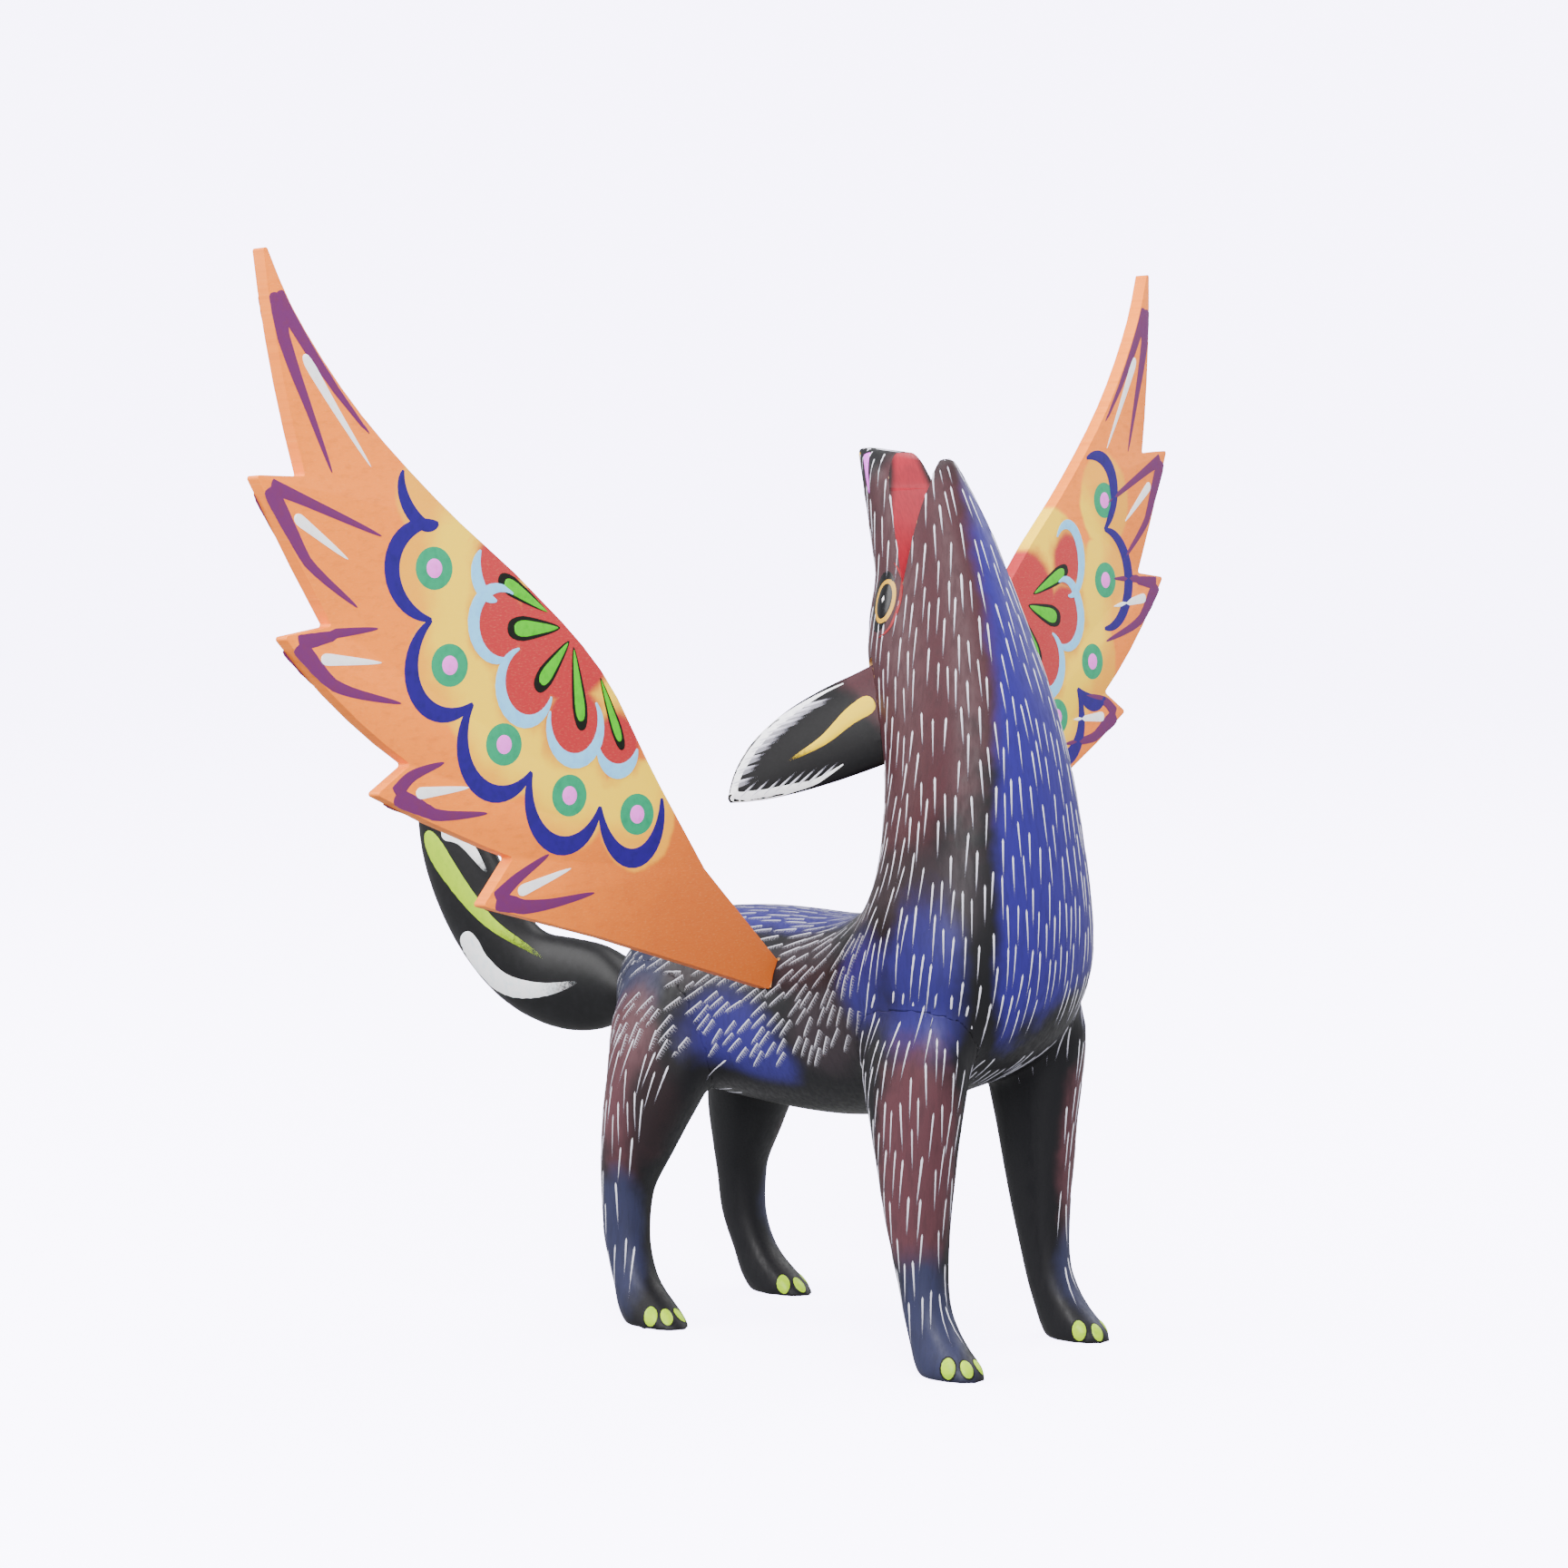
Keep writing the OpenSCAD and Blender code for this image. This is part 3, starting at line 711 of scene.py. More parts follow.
class CoyotePaints(bpy.types.PropertyGroup):
    """Colours of the paints."""
    black: colour_of("Black", (0.0062, 0.0060, 0.0075), "Ground coat of the body")
    maroon: colour_of("Maroon", (0.046, 0.0142, 0.0188), "Head and neck")
    russet: colour_of("Russet", (0.072, 0.025, 0.032), "Outer legs")
    umber: colour_of("Umber", (0.023, 0.0165, 0.0205), "Between the blue patches")
    plum: colour_of("Plum", (0.015, 0.0085, 0.010), "Front of the thighs")
    blue: colour_of("Blue", (0.022, 0.0145, 0.165), "Throat and chest")
    ink: colour_of("Ink blue", (0.020, 0.016, 0.125), "Shoulders and flanks")
    dusk: colour_of("Dusk blue", (0.021, 0.023, 0.056), "Haunches and feet")
    hair: colour_of("Hair", (0.66, 0.65, 0.74), "Brushed hairs")
    wood: colour_of("Wood", (0.50, 0.30, 0.13), "Bare copal wood of pegs and holes")
    mouth: colour_of("Mouth", (0.36, 0.013, 0.03), "Inside of the mouth")
    orange: colour_of("Orange", (0.90, 0.205, 0.008), "Ground coat of the wings")
    ember: colour_of("Ember", (0.52, 0.095, 0.009), "Edges and roots of the wings")
    yellow: colour_of("Yellow", (0.95, 0.60, 0.004), "Airbrushed band of the wings")
    gold: colour_of("Gold", (0.85, 0.31, 0.008), "Inside the scallops")
    red: colour_of("Red", (0.40, 0.018, 0.024), "Fan of the wings")
    indigo: colour_of("Indigo", (0.018, 0.004, 0.165), "Scallops of the wings")
    sky: colour_of("Sky", (0.2, 0.6, 0.95), "Petals round the fan")
    sea: colour_of("Sea green", (0.006, 0.29, 0.13), "Discs of the wings")
    pink: colour_of("Pink", (0.95, 0.17, 0.86), "Middles of the discs")
    leaf: colour_of("Leaf green", (0.06, 0.5, 0.002), "Drops in the fan")
    purple: colour_of("Purple", (0.115, 0.018, 0.10), "Feather tips")
    white: colour_of("White", (0.93, 0.93, 0.96), "Highlights")
    lime: colour_of("Lime", (0.36, 0.56, 0.0), "Nails and tail stroke")
    lemon: colour_of("Lemon", (0.72, 0.48, 0.0), "Ear drop")
    iris: colour_of("Iris ring", (0.5, 0.27, 0.015), "Ring of the eyes")


# ---- Operators -------------------------------------------------------------------------------

class Step(bpy.types.Operator):
    """Base of the steps."""
    bl_options = {"REGISTER", "UNDO"}

    @property
    def sizes(self): return bpy.context.scene.coyote_sizes

    @property
    def paints(self): return bpy.context.scene.coyote_paints


PAINT, WOOD, MOUTH_RED = range(3)


def share_out(bm, tools):
    """Gives the faces that a cut has made the wood's or the mouth's material."""
    tree = BVHTree.FromBMesh(tools)
    for face in bm.faces:
        middle = face.calc_center_median()
        if tree.find_nearest(middle)[3] < 0.03:
            in_mouth = middle.z > 170 and middle.x > 48 and abs(face.normal.y) < 0.5
            face.material_index = MOUTH_RED if in_mouth else WOOD


class COYOTE_OT_body(Step):
    """Trunk and legs: one sanded skin, cut for the mouth, seats and dowels and parted at the legs"""
    bl_idname = "coyote.body"
    bl_label = "Trunk and legs"

    def execute(self, context):
        paints = self.paints
        materials = [body_paint(paints), bare_wood(paints), mouth_paint(paints)]
        skin = whole_skin(self.sizes)
        tools = both_sides(joint_tools)
        marks = tools.copy()
        skin = cut(skin, tools)
        legs = leg_tools(self.sizes.seam)
        trunk = cut(skin.copy(), legs.copy())
        limbs = cut(skin, legs, "INTERSECT")
        share_out(trunk, marks)
        share_out(limbs, marks)
        marks.free()
        piece("trunk_skin", trunk, materials, "body", ["trunk"])
        for name in LEGS:
            side, front = side_of(name), "front" in name
            leg = limbs.copy()
            other = [v for v in leg.verts if v.co.y * side < 0 or (v.co.x > 35) != front]
            bmesh.ops.delete(leg, geom=other, context="VERTS")
            piece(name + "_skin", leg, materials, "body", [name])
        limbs.free()
        return {"FINISHED"}


# Lean of the hairs: place along and up in millimetres, and degrees from straight down to the rear
FLOW = [
    (68, 150, -8), (60, 200, -8), (76, 125, -5), (80, 100, 0), (62, 112, 4), (50, 108, 22), (70, 90, 3),
    (60, 88, 14), (52, 92, 34), (46, 86, 42), (40, 94, 56), (28, 98, 76), (36, 78, 50), (24, 80, 60),
    (48, 72, 30), (34, 66, 40), (20, 68, 50), (8, 80, 60), (6, 95, 78), (-10, 90, 72), (-16, 83, 52),
    (-8, 79, 44), (-12, 72, 22), (-4, 66, 12), (-8, 50, 0), (-10, 20, 0), (80, 60, 0), (82, 20, 0),
    (12, 70, 44)]
EYE = Vector((57.4, 13.2, 172.4))


def flow(p):
    """Degrees that a hair leans to the rear at a place."""
    total = weight = 0
    for x, z, angle in FLOW:
        w = 1 / ((p.x - x) ** 2 + (p.z - z) ** 2 + 4) ** 1.5
        total += w * angle
        weight += w
    return total / weight


# Bare of hair: how near the eye, the wing's seat and the tail's seat, and the ear's box
EYE_BARE, WING_BARE, TAIL_BARE = 6.8, 5, 9
EAR_BARE = ((-7, 8), (-12.6, 12.6), (-3.4, 3.4))
NECK_FROM = 112


def is_bare(p):
    away = Vector((p.x, abs(p.y), p.z))
    if (away - EYE).length < EYE_BARE or (away - FLANK_SEAT).length < WING_BARE:
        return True
    local = ear_matrix().inverted() @ away
    in_ear = all(low < c < high for c, (low, high) in zip(local, EAR_BARE))
    return in_ear or (p - TAIL_SEAT).length < TAIL_BARE


def hair_kind(p, n):
    """long, short or None where no hair is painted."""
    if is_bare(p):
        return None
    out = n.y * (1 if p.y > 0 else -1)
    if p.x > 60 and p.z < 68:
        return "long" if p.z > 10 and (out > 0.1 or (n.x > 0.45 and out > -0.2)) else None
    if p.x < 14 and p.z < 66:
        return "long" if p.z > 10 and out > 0.3 and n.x < 0.45 else None
    if n.z < (-0.35 if p.x < 62 else -0.5) or p.z < 60:
        return None
    if p.x > 70 and p.z < 67 + max(0, p.x * 0.79 - abs(p.y) * 0.61 - 55) * 0.8:
        return None
    return "short" if p.x < 62 and p.z < NECK_FROM else "long"


def hair_run(p, n):
    """The way a hair lies on the surface, or None where the surface faces along it."""
    lean = math.radians(flow(p))
    run = Vector((-math.sin(lean), 0, -math.cos(lean)))
    run = run - n * run.dot(n)
    return run.normalized() if run.length >= 0.2 else None


def scattered(bm, draw, count):
    """Random places on the painted faces, spread evenly by area, each with its normal."""
    faces = [f for f in bm.faces if f.material_index == PAINT and f.calc_center_median().z > 8]
    areas = list(itertools.accumulate(f.calc_area() for f in faces))
    for face in draw.choices(faces, cum_weights=areas, k=count):
        a, b = draw.random(), draw.random()
        if a + b > 1:
            a, b = 1 - a, 1 - b
        v = [c.co for c in face.verts]
        yield v[0] + (v[1] - v[0]) * a + (v[2] - v[0]) * b, face.normal


class Spacing:
    """Keeps strokes apart: no two within one oval of each other."""
    CELL = 9.0

    def __init__(self):
        self.taken = {}

    def takes(self, p, axes, reach):
        """True, and the place is taken, if no stroke lies within that reach along the axes."""
        key = [int(c // self.CELL) for c in p]
        for step in itertools.product((-1, 0, 1), repeat=3):
            for q in self.taken.get(tuple(k + d for k, d in zip(key, step)), ()):
                if sum(((q - p).dot(axis) / r) ** 2 for axis, r in zip(axes, reach)) < 1:
                    return False
        self.taken.setdefault(tuple(key), []).append(p)
        return True


class COYOTE_OT_hair(Step):
    """Brushed white hairs that follow the form over neck, flanks and legs"""
    bl_idname = "coyote.hair"
    bl_label = "Hair strokes"
    TRIES = 32000

    def execute(self, context):
        draw = random.Random(self.sizes.hair_seed)
        bm = painted_skin()
        bmesh.ops.triangulate(bm, faces=bm.faces)
        surface = on_skin(BVHTree.FromBMesh(bm))
        layers = {"long": Strokes(surface, 0.12), "short": Strokes(surface, 0.1)}
        profiles = {"long": tear(0.06, 0.55), "short": tear(0.06, 0.25)}
        spacing = Spacing()
        for p, n in scattered(bm, draw, self.TRIES):
            kind = hair_kind(p, n)
            run = hair_run(p, n) if kind else None
            if run is None:
                continue
            side = n.cross(run)
            if kind == "long":
                gap, reach = (0.84, 1.0) if p.z > NECK_FROM else (0.86, 1.15)
                if not spacing.takes(p, (run, side, n), (self.sizes.hair_length * gap, 1.9, 5)):
                    continue
                length = self.sizes.hair_length * reach * draw.uniform(0.8, 1.12)
                width = self.sizes.hair_width / 2 * draw.uniform(0.75, 1.15)
            else:
                if not spacing.takes(p, (run, side, n), (5.0, 1.85, 5)):
                    continue
                length, width = draw.uniform(5.8, 7.2), draw.uniform(0.85, 1.15)
            tilt = draw.uniform(-0.07, 0.07)
            head, way = p - run * length / 2, (run + side * tilt) * length
            layers[kind].stroke(lambda t: head + way * t, width, profiles[kind], rings=6, sides=4,
                                upper_edge=kind == "short")
        bm.free()
        layers["long"].done("hair_long", hair_paint(self.paints, "hair_paint", 0.95, 0.3), "body")
        layers["short"].done("hair_short", dab_paint(self.paints), "body")
        return {"FINISHED"}


# The eye's ovals: how far ahead, up and aside of its middle, and half as wide and as tall
EYE_OVALS = {
    "eye_surround": (-0.9, -0.3, 0, 4.2, 7.2), "eye_ring": (0, 0, 0, 3.9, 5.5),
    "eye_iris": (0, 0, 0.1, 3.0, 4.6), "eye_glint": (-0.2, 0.4, 0, 0.75, 1.3)}
EYE_ARC = [(0.5, 9.0), (3.8, 6.2), (5.3, 0.5), (4.3, -5.4), (1.0, -8.4)]
NOSE_PINK = [(45.3, 5.4, 206.8), (46.5, 6.6, 202.5), (48.6, 7.4, 196.4)]
NOSE_YELLOW = [(41.5, 3.6, 205.8), (42, 3.8, 204)]


class COYOTE_OT_face(Step):
    """Painted eyes and the marks on the snout"""
    bl_idname = "coyote.face"
    bl_label = "Face"

    def execute(self, context):
        paints = self.paints
        black, red = (0.002, 0.002, 0.0026), (0.22, 0.008, 0.012)
        inks = {
            "eye_surround": (0.08, black, black, 0.22),
            "eye_ring": (0.2, paints.iris, (0.42, 0.22, 0.02), 0.22),
            "eye_iris": (0.3, black, black, 0.22),
            "eye_glint": (0.4, paints.white, paints.white, 0.22),
            "eye_red": (0.14, red, (0.12, 0.006, 0.01), 0.45),
            "snout_pink": (0.12, (0.72, 0.09, 0.78), (0.42, 0.05, 0.5), 0.45),
            "snout_yellow": (0.12, paints.lemon, paints.gold, 0.45)}
        surface = on_painted_skin()
        layers = {name: Strokes(surface, ink[0]) for name, ink in inks.items()}
        for side in (LEFT, RIGHT):
            flip = Vector((1, side, 1))
            spot, normal = surface(EYE * flip)
            up = (Vector((0.12, 0, 1)) - normal * normal.z).normalized()
            right = up.cross(normal)
            ahead = right if right.x > 0 else -right
            for name, (forward, high, aside, wide, tall) in EYE_OVALS.items():
                middle = spot + ahead * forward + up * high + right * aside
                layers[name].dot(middle, right * wide, up * tall, 4 if name == "eye_glint" else 28)
            arc = curve([spot + ahead * a + up * b for a, b in EYE_ARC])
            layers["eye_red"].stroke(arc, 0.5, spindle, rings=20, hug=True)
            pink, dab = (curve([Vector(q) * flip for q in line]) for line in (NOSE_PINK, NOSE_YELLOW))
            layers["snout_pink"].stroke(pink, 1.25, tear(0.06, 0.5), rings=10, hug=True)
            layers["snout_yellow"].stroke(dab, 0.5, tear(0.3), rings=6, hug=True)
        for name, (_, colour, deep, gloss) in inks.items():
            layers[name].done(name, brush_paint(name, colour, deep, gloss), "body")
        return {"FINISHED"}


# Middles of the nails, along and away from the middle plane, in millimetres
NAILS = {
    "leg_front_right": [(88.2, 30.2), (91.7, 27.6), (92.4, 23.4)],
    "leg_front_left": [(89.6, 19.8), (93.3, 23.2), (91.5, 28.6)],
    "leg_hind_right": [(1.4, 29.0), (4.6, 26.6), (5.6, 22.6)],
    "leg_hind_left": [(3.6, 19.2), (6.4, 22.9), (4.2, 27.6)],
}


NAIL_SIZES = (1.12, 1.0, 0.92)
NAIL_HEIGHT = 3.3


class COYOTE_OT_nails(Step):
    """Three lime nails on each paw"""
    bl_idname = "coyote.nails"
    bl_label = "Nails"

    def execute(self, context):
        surface = on_painted_skin()
        nails, shades = Strokes(surface, 0.28), Strokes(surface, 0.12)
        for name in LEGS:
            for (x, y), size in zip(NAILS[name], NAIL_SIZES):
                spot, normal = surface(Vector((x, y * side_of(name), NAIL_HEIGHT)))
                up = (Z_AXIS - normal * normal.z).normalized()
                right = up.cross(normal)
                shades.dot(spot - up * 0.1, right * 1.95 * size, up * 2.8 * size, 16)
                nails.dot(spot, right * 1.6 * size, up * 2.4 * size, 16)
        shade = (0.003, 0.003, 0.004)
        shades.done("nail_shades", brush_paint("nail_shade", shade, shade), "body")
        lime = brush_paint("nail_lime", self.paints.lime, (0.20, 0.42, 0.0), 0.35, (0.4, 0.4, 0.9))
        nails.done("nails", lime, "body")
        return {"FINISHED"}


# Painted pattern of the right wing in blade millimetres, from its seat: outwards, upwards.
# Discs stand between the scallops' cusps, petals have a radius and drops run from head to point.
DISCS = [(98.2, 111.9), (101.0, 97.0), (97.9, 76.3), (83.0, 58.5), (63.8, 46.1), (42.8, 40.4)]
CUSPS = [(107.5, 118.8), (99.1, 106.4), (102.5, 86.1), (91.7, 67.8), (75.1, 52.1), (54.4, 43.0), (34.6, 43.4)]
PETALS = [((82.0, 96.0), 6.8), ((82.5, 84.4), 7.9), ((75.2, 71.0), 8.1), ((61.0, 61.6), 8.2),
          ((47.8, 56.6), 6.4)]
FAN = (62.5, 81.5)
DROPS = [((79.8, 93.2), (66.6, 85.7), 1.7), ((77.6, 83.2), (64.7, 82.8), 2.1),
         ((70.6, 71.4), (61.9, 79.4), 1.9), ((59.0, 62.6), (60.2, 77.9), 1.75),
         ((47.2, 57.4), (52.2, 70.8), 1.3)]
BAND_MIDDLE = (70, 78)
# Each feather's tip: its outer arm, its inner arm and the highlight between them
FEATHERS = [
    ([(88.4, 25.2), (82.0, 23.4), (72.0, 23.0), (57.5, 24.2)], [(88.4, 25.4), (81.0, 29.4), (71.0, 33.8)],
     [(81.0, 26.4), (64.4, 30.2)]),
    ([(117.4, 50.0), (110.5, 46.6), (102.0, 44.6), (89.0, 44.1)], [(117.4, 50.4), (110.4, 53.6), (101.0, 55.8)],
     [(109.6, 49.8), (94.0, 50.0)]),
    ([(140.6, 82.8), (136.5, 77.2), (128.0, 72.6), (112.5, 69.0)],
     [(140.6, 83.0), (134.0, 84.2), (118.0, 85.0)], [(134.4, 79.4), (117.4, 77.8)]),
    ([(146.0, 115.4), (142.6, 107.6), (136.0, 98.8), (123.5, 89.6)],
     [(146.0, 115.2), (138.5, 112.8), (115.6, 104.2)], [(139.6, 109.0), (125.4, 99.6)]),
    ([(142.8, 157.0), (141.2, 149.5), (138.0, 140.0), (134.2, 131.0), (128.6, 117.6)],
     [(142.6, 157.0), (138.0, 149.6), (131.6, 141.0), (125.8, 134.6), (117.6, 126.4)],
     [(134.8, 142.0), (127.0, 131.0), (117.6, 118.6)])]
# How the fan and the scallops lie on the left wing
LEFT_TURN = math.radians(-16)
LEFT_FIRST_CUSP = (102.6, 114.1)
LEFT_FROM, LEFT_TO = Vector((83.0, 58.5)), Vector((85.7, 51.2))
LEFT_STRETCH, LEFT_STRETCH_FROM = 0.36, 79


def pattern_spot(p, side):
    """A pattern point on that wing. On the left wing they lie a little turned, and stretched above."""
    p = Vector(p)
    if side == LEFT:
        p = Matrix.Rotation(LEFT_TURN, 2) @ (p - LEFT_FROM) + LEFT_TO
        p.y += LEFT_STRETCH * max(0, p.y - LEFT_STRETCH_FROM)
    return p


def wing_paint(paints, side):
    """Orange ground with the airbrushed yellow band and red fan."""
    s = Shade("wing_paint_left" if side == LEFT else "wing_paint_right")
    blade = on_side(blade_matrix(), side).inverted()
    p = s.place()
    u, v = s.along(p, blade[1]), s.along(p, blade[2])
    flat = s.join(u, v)

    def gap(spot):
        return s.distance(flat, (*pattern_spot(spot, side), 0))
    cloud = s.noise(flat, 0.12, 3.0, 0.55) - 0.5
    streak = s.noise(s.scaled(flat, (0.35, 0.9, 1.0)), 0.7, 4.0, 0.65)
    fine = s.noise(s.scaled(flat, (0.8, 2.6, 1.0)), 1.3, 3.0, 0.6)
    grain = s.noise(s.scaled(flat, (0.5, 1.6, 1.0)), 1.0, 4.0, 0.65)
    root = s.ramp(u + v * 0.55 + cloud * 30, 115, 30)
    colour = s.mix(root, rgba(paints.orange), rgba((0.55, 0.115, 0.014)))
    colour = s.mix(s.ramp(streak, 0.45, 0.75, 0.0, 0.35), colour, rgba(paints.ember))
    near = functools.reduce(Value.low, [gap(disc) for disc in DISCS])
    yellow = s.ramp(near.low(gap(BAND_MIDDLE) - 20) + cloud * 3, 13.0, 11.4)
    fan = functools.reduce(Value.low, [gap(at) - r for at, r in PETALS] + [gap(FAN) - 15])
    golden = s.mix(s.ramp(fan + cloud * 8, 9, 17, 0.0, 0.85), rgba(paints.yellow), rgba(paints.gold))
    golden = s.mix(s.ramp(fan + cloud * 8, 4.0, 0.0, 0.0, 0.6), golden, rgba((0.62, 0.13, 0.014)))
    colour = s.mix(yellow, colour, golden)
    colour = s.mix(s.ramp(fan + cloud * 2, 1.6, -1.0), colour, rgba(paints.red))
    colour = s.mix(s.ramp(fine, 0.5, 0.8, 0.0, 0.1), colour, rgba((1.0, 0.75, 0.35)))
    return s.finish(colour, s.ramp(streak, 0.3, 0.7, 0.5, 0.62), s.bump(grain, 0.3, 0.00015), specular=0.25)


class COYOTE_OT_wings(Step):
    """Wings: flat blades with softened edges"""
    bl_idname = "coyote.wings"
    bl_label = "Wings"

    def execute(self, context):
        for word, side in SIDES.items():
            bm = copy_of("wing_" + word)
            bmesh.ops.dissolve_limit(bm, angle_limit=math.radians(1.5), verts=bm.verts, edges=bm.edges)
            flat = on_side(blade_matrix(), side).inverted()
            rim = []
            for edge in bm.edges:
                a, b = ((flat @ v.co).x for v in edge.verts)
                on_face = all(abs(abs(x) - WING_T / 2) < 0.02 for x in (a, b))
                if on_face and a * b > 0 and edge.calc_face_angle(0) > 1:
                    rim.append(edge)
            bmesh.ops.bevel(bm, geom=rim, offset=self.sizes.wing_edge, segments=3, profile=0.5,
                            affect="EDGES", material=-1, clamp_overlap=True)
            name = "wing_" + word
            piece("wing_blade_" + word, bm, wing_paint(self.paints, side), name, [name], sharp=32)
        return {"FINISHED"}


def scallop(start, end, bulge, fan):
    """Points of a round arc between two cusps, bulging away from the fan."""
    start, end = Vector(start), Vector(end)
    middle, along = (start + end) / 2, (end - start) / 2
    out = Vector((along.y, -along.x)).normalized()
    if out.dot(middle - fan) < 0:
        out = -out
    turns = [math.pi * k / 16 for k in range(17)]
    return [middle - along * math.cos(a) + out * bulge * math.sin(a) for a in turns]


def crescent(thin):
    """Width of an arc that thins to both its cusps."""
    return lambda t: thin + (1 - thin) * math.sin(math.pi * t) ** 0.75


class Blade:
    """Both painted faces of one wing, worked in the pattern's own millimetres."""

    def __init__(self, word, lifts):
        self.side = SIDES[word]
        self.matrix = on_side(blade_matrix(), self.side)
        bm = copy_of("wing_" + word)
        bmesh.ops.transform(bm, matrix=self.matrix.inverted(), verts=bm.verts)
        self.tree = BVHTree.FromBMesh(bm)
        bm.free()
        self.layers = {
            name: [Strokes(on_plane(self.matrix, WING_T / 2, facing), lift) for facing in (1, -1)]
            for name, lift in lifts.items()}

    def clear(self, spot, margin):
        """True if a place on the blade is at least that far from its edge."""
        return all(self.tree.ray_cast(Vector((-9, spot.x + dx, spot.y + dy)), Vector((1, 0, 0)))[0] is not None
                   for dx, dy in ((0, 0), (margin, 0), (-margin, 0), (0, margin), (0, -margin)))

    def drawn_in(self, spots, margin, inner):
        """The points moved towards an inner point until each is that far inside the blade."""
        out = []
        for spot in spots:
            way = (inner - spot).normalized() * 0.4
            for _ in range(16):
                if self.clear(spot, margin):
                    out.append(spot)
                    break
                spot = spot + way
        return out

    def kept(self, spots):
        """The longest run of a stroke's points that lies on the blade."""
        best, run = [], []
        for spot in spots:
            run = run + [spot] if self.clear(spot, 1.3) else []
            best = run if len(run) > len(best) else best
        return best

    def brush(self, name, spots, width, profile, rings):
        line = curve([self.matrix @ Vector((0, *q)) for q in spots])
        for strokes in self.layers[name]:
            strokes.stroke(line, width, profile, rings=rings)

    def put(self, name, points, width, profile, rings=14, turned=True):
        """A stroke through pattern points, as far as it lies on the blade."""
        spots = [pattern_spot(q, self.side) if turned else Vector(q) for q in points]
        rough = curve([q.to_3d() for q in spots])
        spots = self.kept([rough(k / 48).xy for k in range(49)])
        if len(spots) >= 3:
            self.brush(name, spots, width, profile, rings)

    def oval(self, name, spot, halves):
        axes = self.matrix.to_3x3()
        wide, tall = axes @ Vector((0, halves[0], 0)), axes @ Vector((0, 0, halves[1]))
        for strokes in self.layers[name]:
            strokes.dot(self.matrix @ Vector((0, *spot)), wide, tall)


class COYOTE_OT_wing_pattern(Step):
    """Brushed pattern on both faces of both wings"""
    bl_idname = "coyote.wing_pattern"
    bl_label = "Wing pattern"

    def execute(self, context):
        paints = self.paints
        inks = {
            "scallops": (paints.indigo, (0.012, 0.006, 0.10), 0.10),
            "petals": (paints.sky, (0.16, 0.45, 0.86), 0.12),
            "discs": (paints.sea, (0.004, 0.2, 0.09), 0.08),
            "disc_middles": (paints.pink, (0.75, 0.12, 0.62), 0.14),
            "drop_shades": ((0.004, 0.006, 0.003), (0.002, 0.002, 0.002), 0.07),
            "drops": (paints.leaf, (0.03, 0.33, 0.004), 0.13),
            "tips": (paints.purple, (0.13, 0.022, 0.07), 0.09),
            "highlights": (paints.white, (0.8, 0.78, 0.82), 0.11)}
        shades = {name: brush_paint("wing_" + name, a, b, 0.52) for name, (a, b, _) in inks.items()}
        for word in SIDES:
            blade = Blade(word, {name: ink[2] for name, ink in inks.items()})
            self.scallops(blade)
            self.fan(blade)
            self.feathers(blade)
            for name, pair in blade.layers.items():
                for strokes, face in zip(pair, ("front", "back")):
                    strokes.done(f"{name}_{word}_{face}", shades[name], "wing_" + word)
        return {"FINISHED"}

    @staticmethod
    def scallops(blade):
        """The outer arcs, each with its disc. The right wing's first arc is cut off by the edge."""
        for i, disc in enumerate(DISCS):
            start, end = (pattern_spot(cusp, blade.side) for cusp in CUSPS[i:i + 2])
            if i == 0 and blade.side == LEFT:
                start = Vector(LEFT_FIRST_CUSP)
            bulge, width = (12.5, 2.5) if i > 0 or blade.side == LEFT else (5.0, 1.9)
            points = scallop(start, end, bulge, pattern_spot(FAN, blade.side))
            blade.put("scallops", points, width, crescent(0.14), rings=30, turned=False)
            spot = pattern_spot(disc, blade.side)
            if blade.clear(spot, 3.8):
                blade.oval("discs", spot, (5.4, 4.6))
                blade.oval("disc_middles", spot, (2.65, 2.4))

    @staticmethod
    def fan(blade):
        """The petals' arcs and the green drops in the fan."""
        for at, r in PETALS:
            out = (Vector(at) - Vector(FAN)).normalized()
            start = math.atan2(out.y, out.x)
            turns = [start + math.radians(-118 + 236 * k / 20) for k in range(21)]
            points = [Vector(at) + (r - 0.1) * Vector((math.cos(a), math.sin(a))) for a in turns]
            blade.put("petals", points, 1.95, crescent(0.1), rings=26)
        for head, point, width in DROPS:
            head, point = Vector(head), Vector(point)
            back, middle = (head - point).normalized(), (head + point) / 2
            shade = [head + back * 2.6, middle, point - back * 0.6]
            blade.put("drop_shades", shade, width * 1.5, tear(0.3, 0.8))
            blade.put("drops", [head + back * 0.6, middle, point], width, tear(0.26, 0.8))

    @staticmethod
    def feathers(blade):
        """A purple V and a white highlight in each feather's tip."""
        for outer, inner, white in FEATHERS:
            middle = Vector(white[-1])
            apex = blade.drawn_in([Vector(outer[0])], 2.1, middle)[0]
            for arm, width in ((outer, 2.5), (inner, 2.1)):
                rough = curve([apex.to_3d()] + [Vector(q).to_3d() for q in arm[1:]])
                spots = blade.drawn_in([rough(k / 24).xy for k in range(25)], 1.9, middle)
                blade.brush("tips", spots, width, tear(0.06, 0.6), 22)
            blade.put("highlights", white, 1.5, tear(0.16, 0.75), turned=False)


